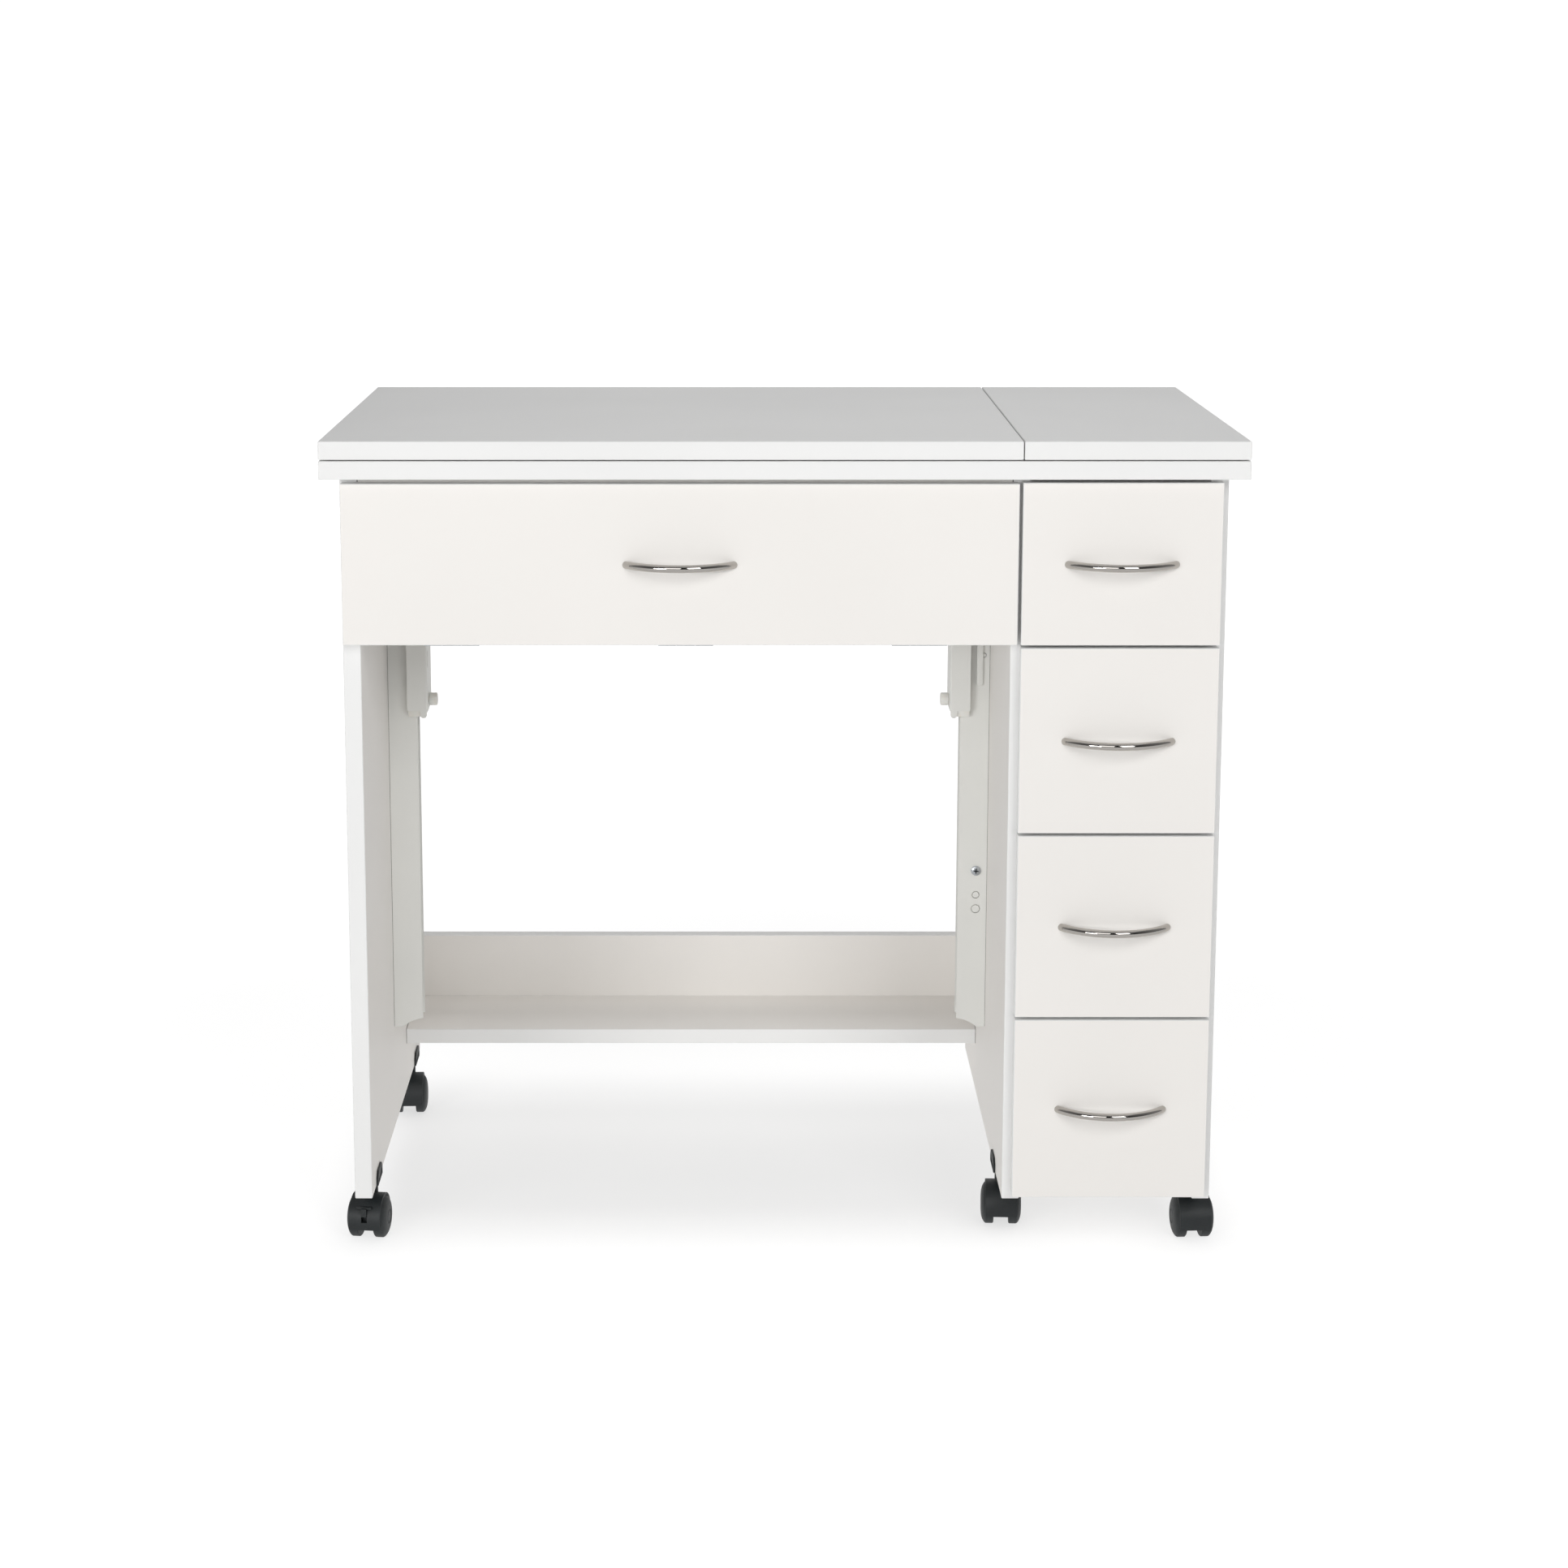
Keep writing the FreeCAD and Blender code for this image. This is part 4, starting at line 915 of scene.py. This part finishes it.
def fixLiftRails():
    # four screws in each channel, and the spring's screw and the lever's in the right rail's face
    seeds, axes = [], []
    for name, inward in (("left_lift_rail", 1), ("right_lift_rail", -1)):
        low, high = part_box(name)
        x = low.x + liftFixing["web"] if inward > 0 else high.x - liftFixing["web"]
        for share in liftFixing["shares"]:
            seeds.append(Vector((x, (low.y + high.y) / 2, low.z + (high.z - low.z) * share)))
            axes.append(right * inward)
    makeScrews("lift_rail_fixings", "cabinet", "liftRail", seeds, axes)

    low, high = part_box("lift_rail_screws")
    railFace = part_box("right_lift_rail")[0].y
    pivotX, _, pivotZ = jointNamed["release_lever_swing"]["pos_m"]
    springX, springZ = pivotX - liftFixing["springAcross"], low.z + liftFixing["springRise"]
    pivotY = low.y + screwKinds["pivot"][1]
    spring = makeScrews("spring_screw", "cabinet", "spring",
                        [Vector((springX, railFace, springZ))], front)
    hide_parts("lift_rail_screws")
    makeScrews("pivot_screw", "cabinet", "pivot", [Vector((pivotX, pivotY, pivotZ))], front)
    shank = linkPiece("pivot_shank", drum("shank", liftFixing["shankRadius"], railFace - pivotY,
                                          Vector((pivotX, (railFace + pivotY) / 2, pivotZ)),
                                          back, liftFixing["shankSteps"]))
    shank.data.materials.append(zinc)
    fit(smooth(shank, cornersOver["turned"]), "cabinet", "zinc_steel")
    for name, (across, z, radius) in liftFixing["plugs"].items():
        seed = Vector((springX + across, railFace + liftFixing["plugSunk"], z))
        makeCaps(name + "_rail_plug", [seed], front, radius, liftFixing["plugHeight"], powder,
                 "white_steel")


def fixPlatform():  # three screws up through each carriage's arm
    seeds = []
    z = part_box("lift_platform")[0].z - liftFixing["armDrop"]
    for name, inward in (("left_lift_carriage", 1), ("right_lift_carriage", -1)):
        low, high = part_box(name)
        x = (high.x if inward > 0 else low.x) - inward * liftFixing["armTip"]
        end = liftFixing["armEnd"]
        seeds += [Vector((x, y, z)) for y in (low.y + end, (low.y + high.y) / 2, high.y - end)]
    makeScrews("platform_screws", "lift", "platform", seeds, down)


camFitting = {
    "radius": 8.5 * mm, "height": 0.6 * mm,
    "inset": 34 * mm,           # from a board's end
    "fromEdge": 35 * mm,        # from a shelf's front or back
}


def coverCams():  # near each end of every knock-down board
    seeds, axes = [], []
    for name, side in hiddenSide.items():
        low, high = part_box(name)
        for x in (low.x + camFitting["inset"], high.x - camFitting["inset"]):
            if side == down:
                spots = [Vector((x, y, low.z)) for y in (low.y + camFitting["fromEdge"],
                                                         high.y - camFitting["fromEdge"])]
            else:
                spots = [Vector((x, high.y, (low.z + high.z) / 2))]
            seeds += spots
            axes += [side] * len(spots)
    makeCaps("cam_covers", seeds, axes, camFitting["radius"], camFitting["height"], milkNylon,
             "white_nylon")


fixFronts()
fixLeafHinges()
fixDropFrontHinges()
fixRunners()
fixLiftRails()
fixPlatform()
coverCams()
print("fasteners done")

# Studio: pale floor, three soft lights in front, one behind, one overhead and a dim white room.
lights = {
    "key": {"place": (-0.8, -3.6, 2.0), "aim": (0, 0, 0.45), "size": (1.6, 1.6), "power": 20},
    "fill": {"place": (1.2, -3.1, 2.0), "aim": (0, 0, 0.4), "size": (1.2, 1.6), "power": 35},
    "low": {"place": (-2.8, -4.4, 1.2), "aim": (0.1, 0, 0.3), "size": (1.8, 0.6), "power": 68},
    "rear": {"place": (0.3, 3.2, 2.4), "aim": (0, 0, 0.4), "size": (2.4, 1.2), "power": 19},
    "ceiling": {"place": (0, -0.2, 3.4), "aim": (0, 0, 0), "size": (4.0, 4.0), "power": 17.5},
}


def softbox(name, settings):
    light = bpy.data.lights.new(name, "AREA")
    light.shape = "RECTANGLE"
    light.size, light.size_y = settings["size"]
    light.energy = settings["power"]
    lamp = bpy.data.objects.new(name, light)
    lamp.location = settings["place"]
    aim = Vector(settings["aim"]) - Vector(settings["place"])
    lamp.rotation_euler = aim.to_track_quat("-Z", "Y").to_euler()
    scene.collection.objects.link(lamp)


floorLook = {
    "size": 30.0,
    "glow": (0.82, 1.05), "glowReach": (0.9, 3.0),  # its own light, near the cabinet and far off
    "glowCast": 0.55,                 # its own light as the cabinet receives it
    "paintedShadowDepth": 0.2,                 # taken off its glow as a painted shadow: a soft pool of shade under the cabinet
    "poolX": (0.36, 0.46), "poolY": (0.13, 0.31),   # where the pool starts to fade and ends
    "poolMiddle": (0, 0.07, 0),
}


def paleFloor():
    half = floorLook["size"] / 2
    mesh = bpy.data.meshes.new("floor")
    mesh.from_pydata([(-half, -half, 0), (half, -half, 0), (half, half, 0), (-half, half, 0)],
                     [], [(0, 1, 2, 3)])
    floor = linkPiece("floor", mesh)
    # Painted seamless floor: pale and matt, and mostly its own light, so shadows stay faint; a pool
    # of painted shadow under the cabinet lowers its glow.
    material = makeFinish("paleFloor", {
        "shader": {"Roughness": 0.9, "Specular IOR Level": 0.1, "Emission Color": (1, 1, 1, 1)},
        "deepAndPale": ("989898", "9C9C9C"), "driftMm": 900})
    tree = material.node_tree
    place = addNode(tree, "ShaderNodeTexCoord").outputs["Object"]
    distance = addNode(tree, "ShaderNodeVectorMath", {0: place}, operation="LENGTH")
    (near, far), (start, end) = floorLook["glow"], floorLook["glowReach"]
    glow = addNode(tree, "ShaderNodeMapRange", {
        "Value": distance.outputs["Value"], "From Min": start, "From Max": end,
        "To Min": near, "To Max": far})
    # painted shadow: a soft box under the cabinet where the camera sees less glow
    middle = addNode(tree, "ShaderNodeVectorMath", {
        0: place, 1: floorLook["poolMiddle"]}, operation="SUBTRACT").outputs[0]
    away = addNode(tree, "ShaderNodeVectorMath", {0: middle}, operation="ABSOLUTE").outputs[0]
    sides = addNode(tree, "ShaderNodeSeparateXYZ", {"Vector": away}).outputs
    within = []
    for axis in "XY":
        start, end = floorLook["pool" + axis]
        within.append(addNode(tree, "ShaderNodeMapRange", {
            "Value": sides[axis], "From Min": start, "From Max": end,
            "To Min": 1.0, "To Max": 0.0}, interpolation_type="SMOOTHSTEP").outputs[0])
    pool = addNode(tree, "ShaderNodeMath", {
        0: within[0], 1: within[1]}, operation="MULTIPLY").outputs[0]
    shaded = addNode(tree, "ShaderNodeMath", {
        0: pool, 1: -floorLook["paintedShadowDepth"], 2: glow.outputs["Result"]},
        operation="MULTIPLY_ADD").outputs[0]
    seen = addNode(tree, "ShaderNodeLightPath").outputs["Is Camera Ray"]
    given = addNode(tree, "ShaderNodeMix", {
        0: seen, "A": floorLook["glowCast"], "B": shaded}).outputs[0]
    tree.links.new(given, tree.nodes["Principled BSDF"].inputs["Emission Strength"])
    mesh.materials.append(material)


room = {
    "ambient": 0.3, "backdrop": 1.05,
    "depths": (-0.8, 0.0), "tones": (0.08, 1.0),    # darkest in front of the cabinet
}


def paleRoom():  # white behind the cabinet; dimmer as a light, and darkest in front
    world = bpy.data.worlds.new("studio")
    world.use_nodes = True
    tree = world.node_tree
    lit = tree.nodes["Background"]
    lit.inputs["Strength"].default_value = room["ambient"]
    direction = addNode(tree, "ShaderNodeTexCoord").outputs["Generated"]
    depth = addNode(tree, "ShaderNodeSeparateXYZ", {"Vector": direction}).outputs["Y"]
    (start, end), (dark, pale) = room["depths"], room["tones"]
    tone = addNode(tree, "ShaderNodeMapRange", {
        "Value": depth, "From Min": start, "From Max": end, "To Min": dark, "To Max": pale})
    tree.links.new(tone.outputs["Result"], lit.inputs["Color"])
    backdrop = addNode(tree, "ShaderNodeBackground", {
        "Color": (1, 1, 1, 1), "Strength": room["backdrop"]})
    seen = addNode(tree, "ShaderNodeLightPath").outputs["Is Camera Ray"]
    mixed = addNode(tree, "ShaderNodeMixShader", {
        0: seen, 1: lit.outputs[0], 2: backdrop.outputs[0]})
    tree.links.new(mixed.outputs[0], tree.nodes["World Output"].inputs["Surface"])
    scene.world = world


view = {
    "lens": 73.643, "sensor": 36, "farClip": 60,
    "place": (-0.04903, -3.0599, 1.09093), "lookDown": 10.52,
    "shiftRight": 0.03487, "shiftUp": -0.07573,
}


def makeCamera():
    data = bpy.data.cameras.new("camera")
    data.sensor_width = view["sensor"]
    data.lens = view["lens"]
    data.shift_x = view["shiftRight"]
    data.shift_y = view["shiftUp"]
    data.clip_end = view["farClip"]
    camera = bpy.data.objects.new("camera", data)
    camera.location = view["place"]
    camera.rotation_euler = (math.radians(90 - view["lookDown"]), 0, 0)
    scene.collection.objects.link(camera)
    scene.camera = camera


paleFloor()
paleRoom()
for name, settings in lights.items():
    softbox(name, settings)
makeCamera()
scene.view_settings.view_transform = "Standard"
print("studio done")
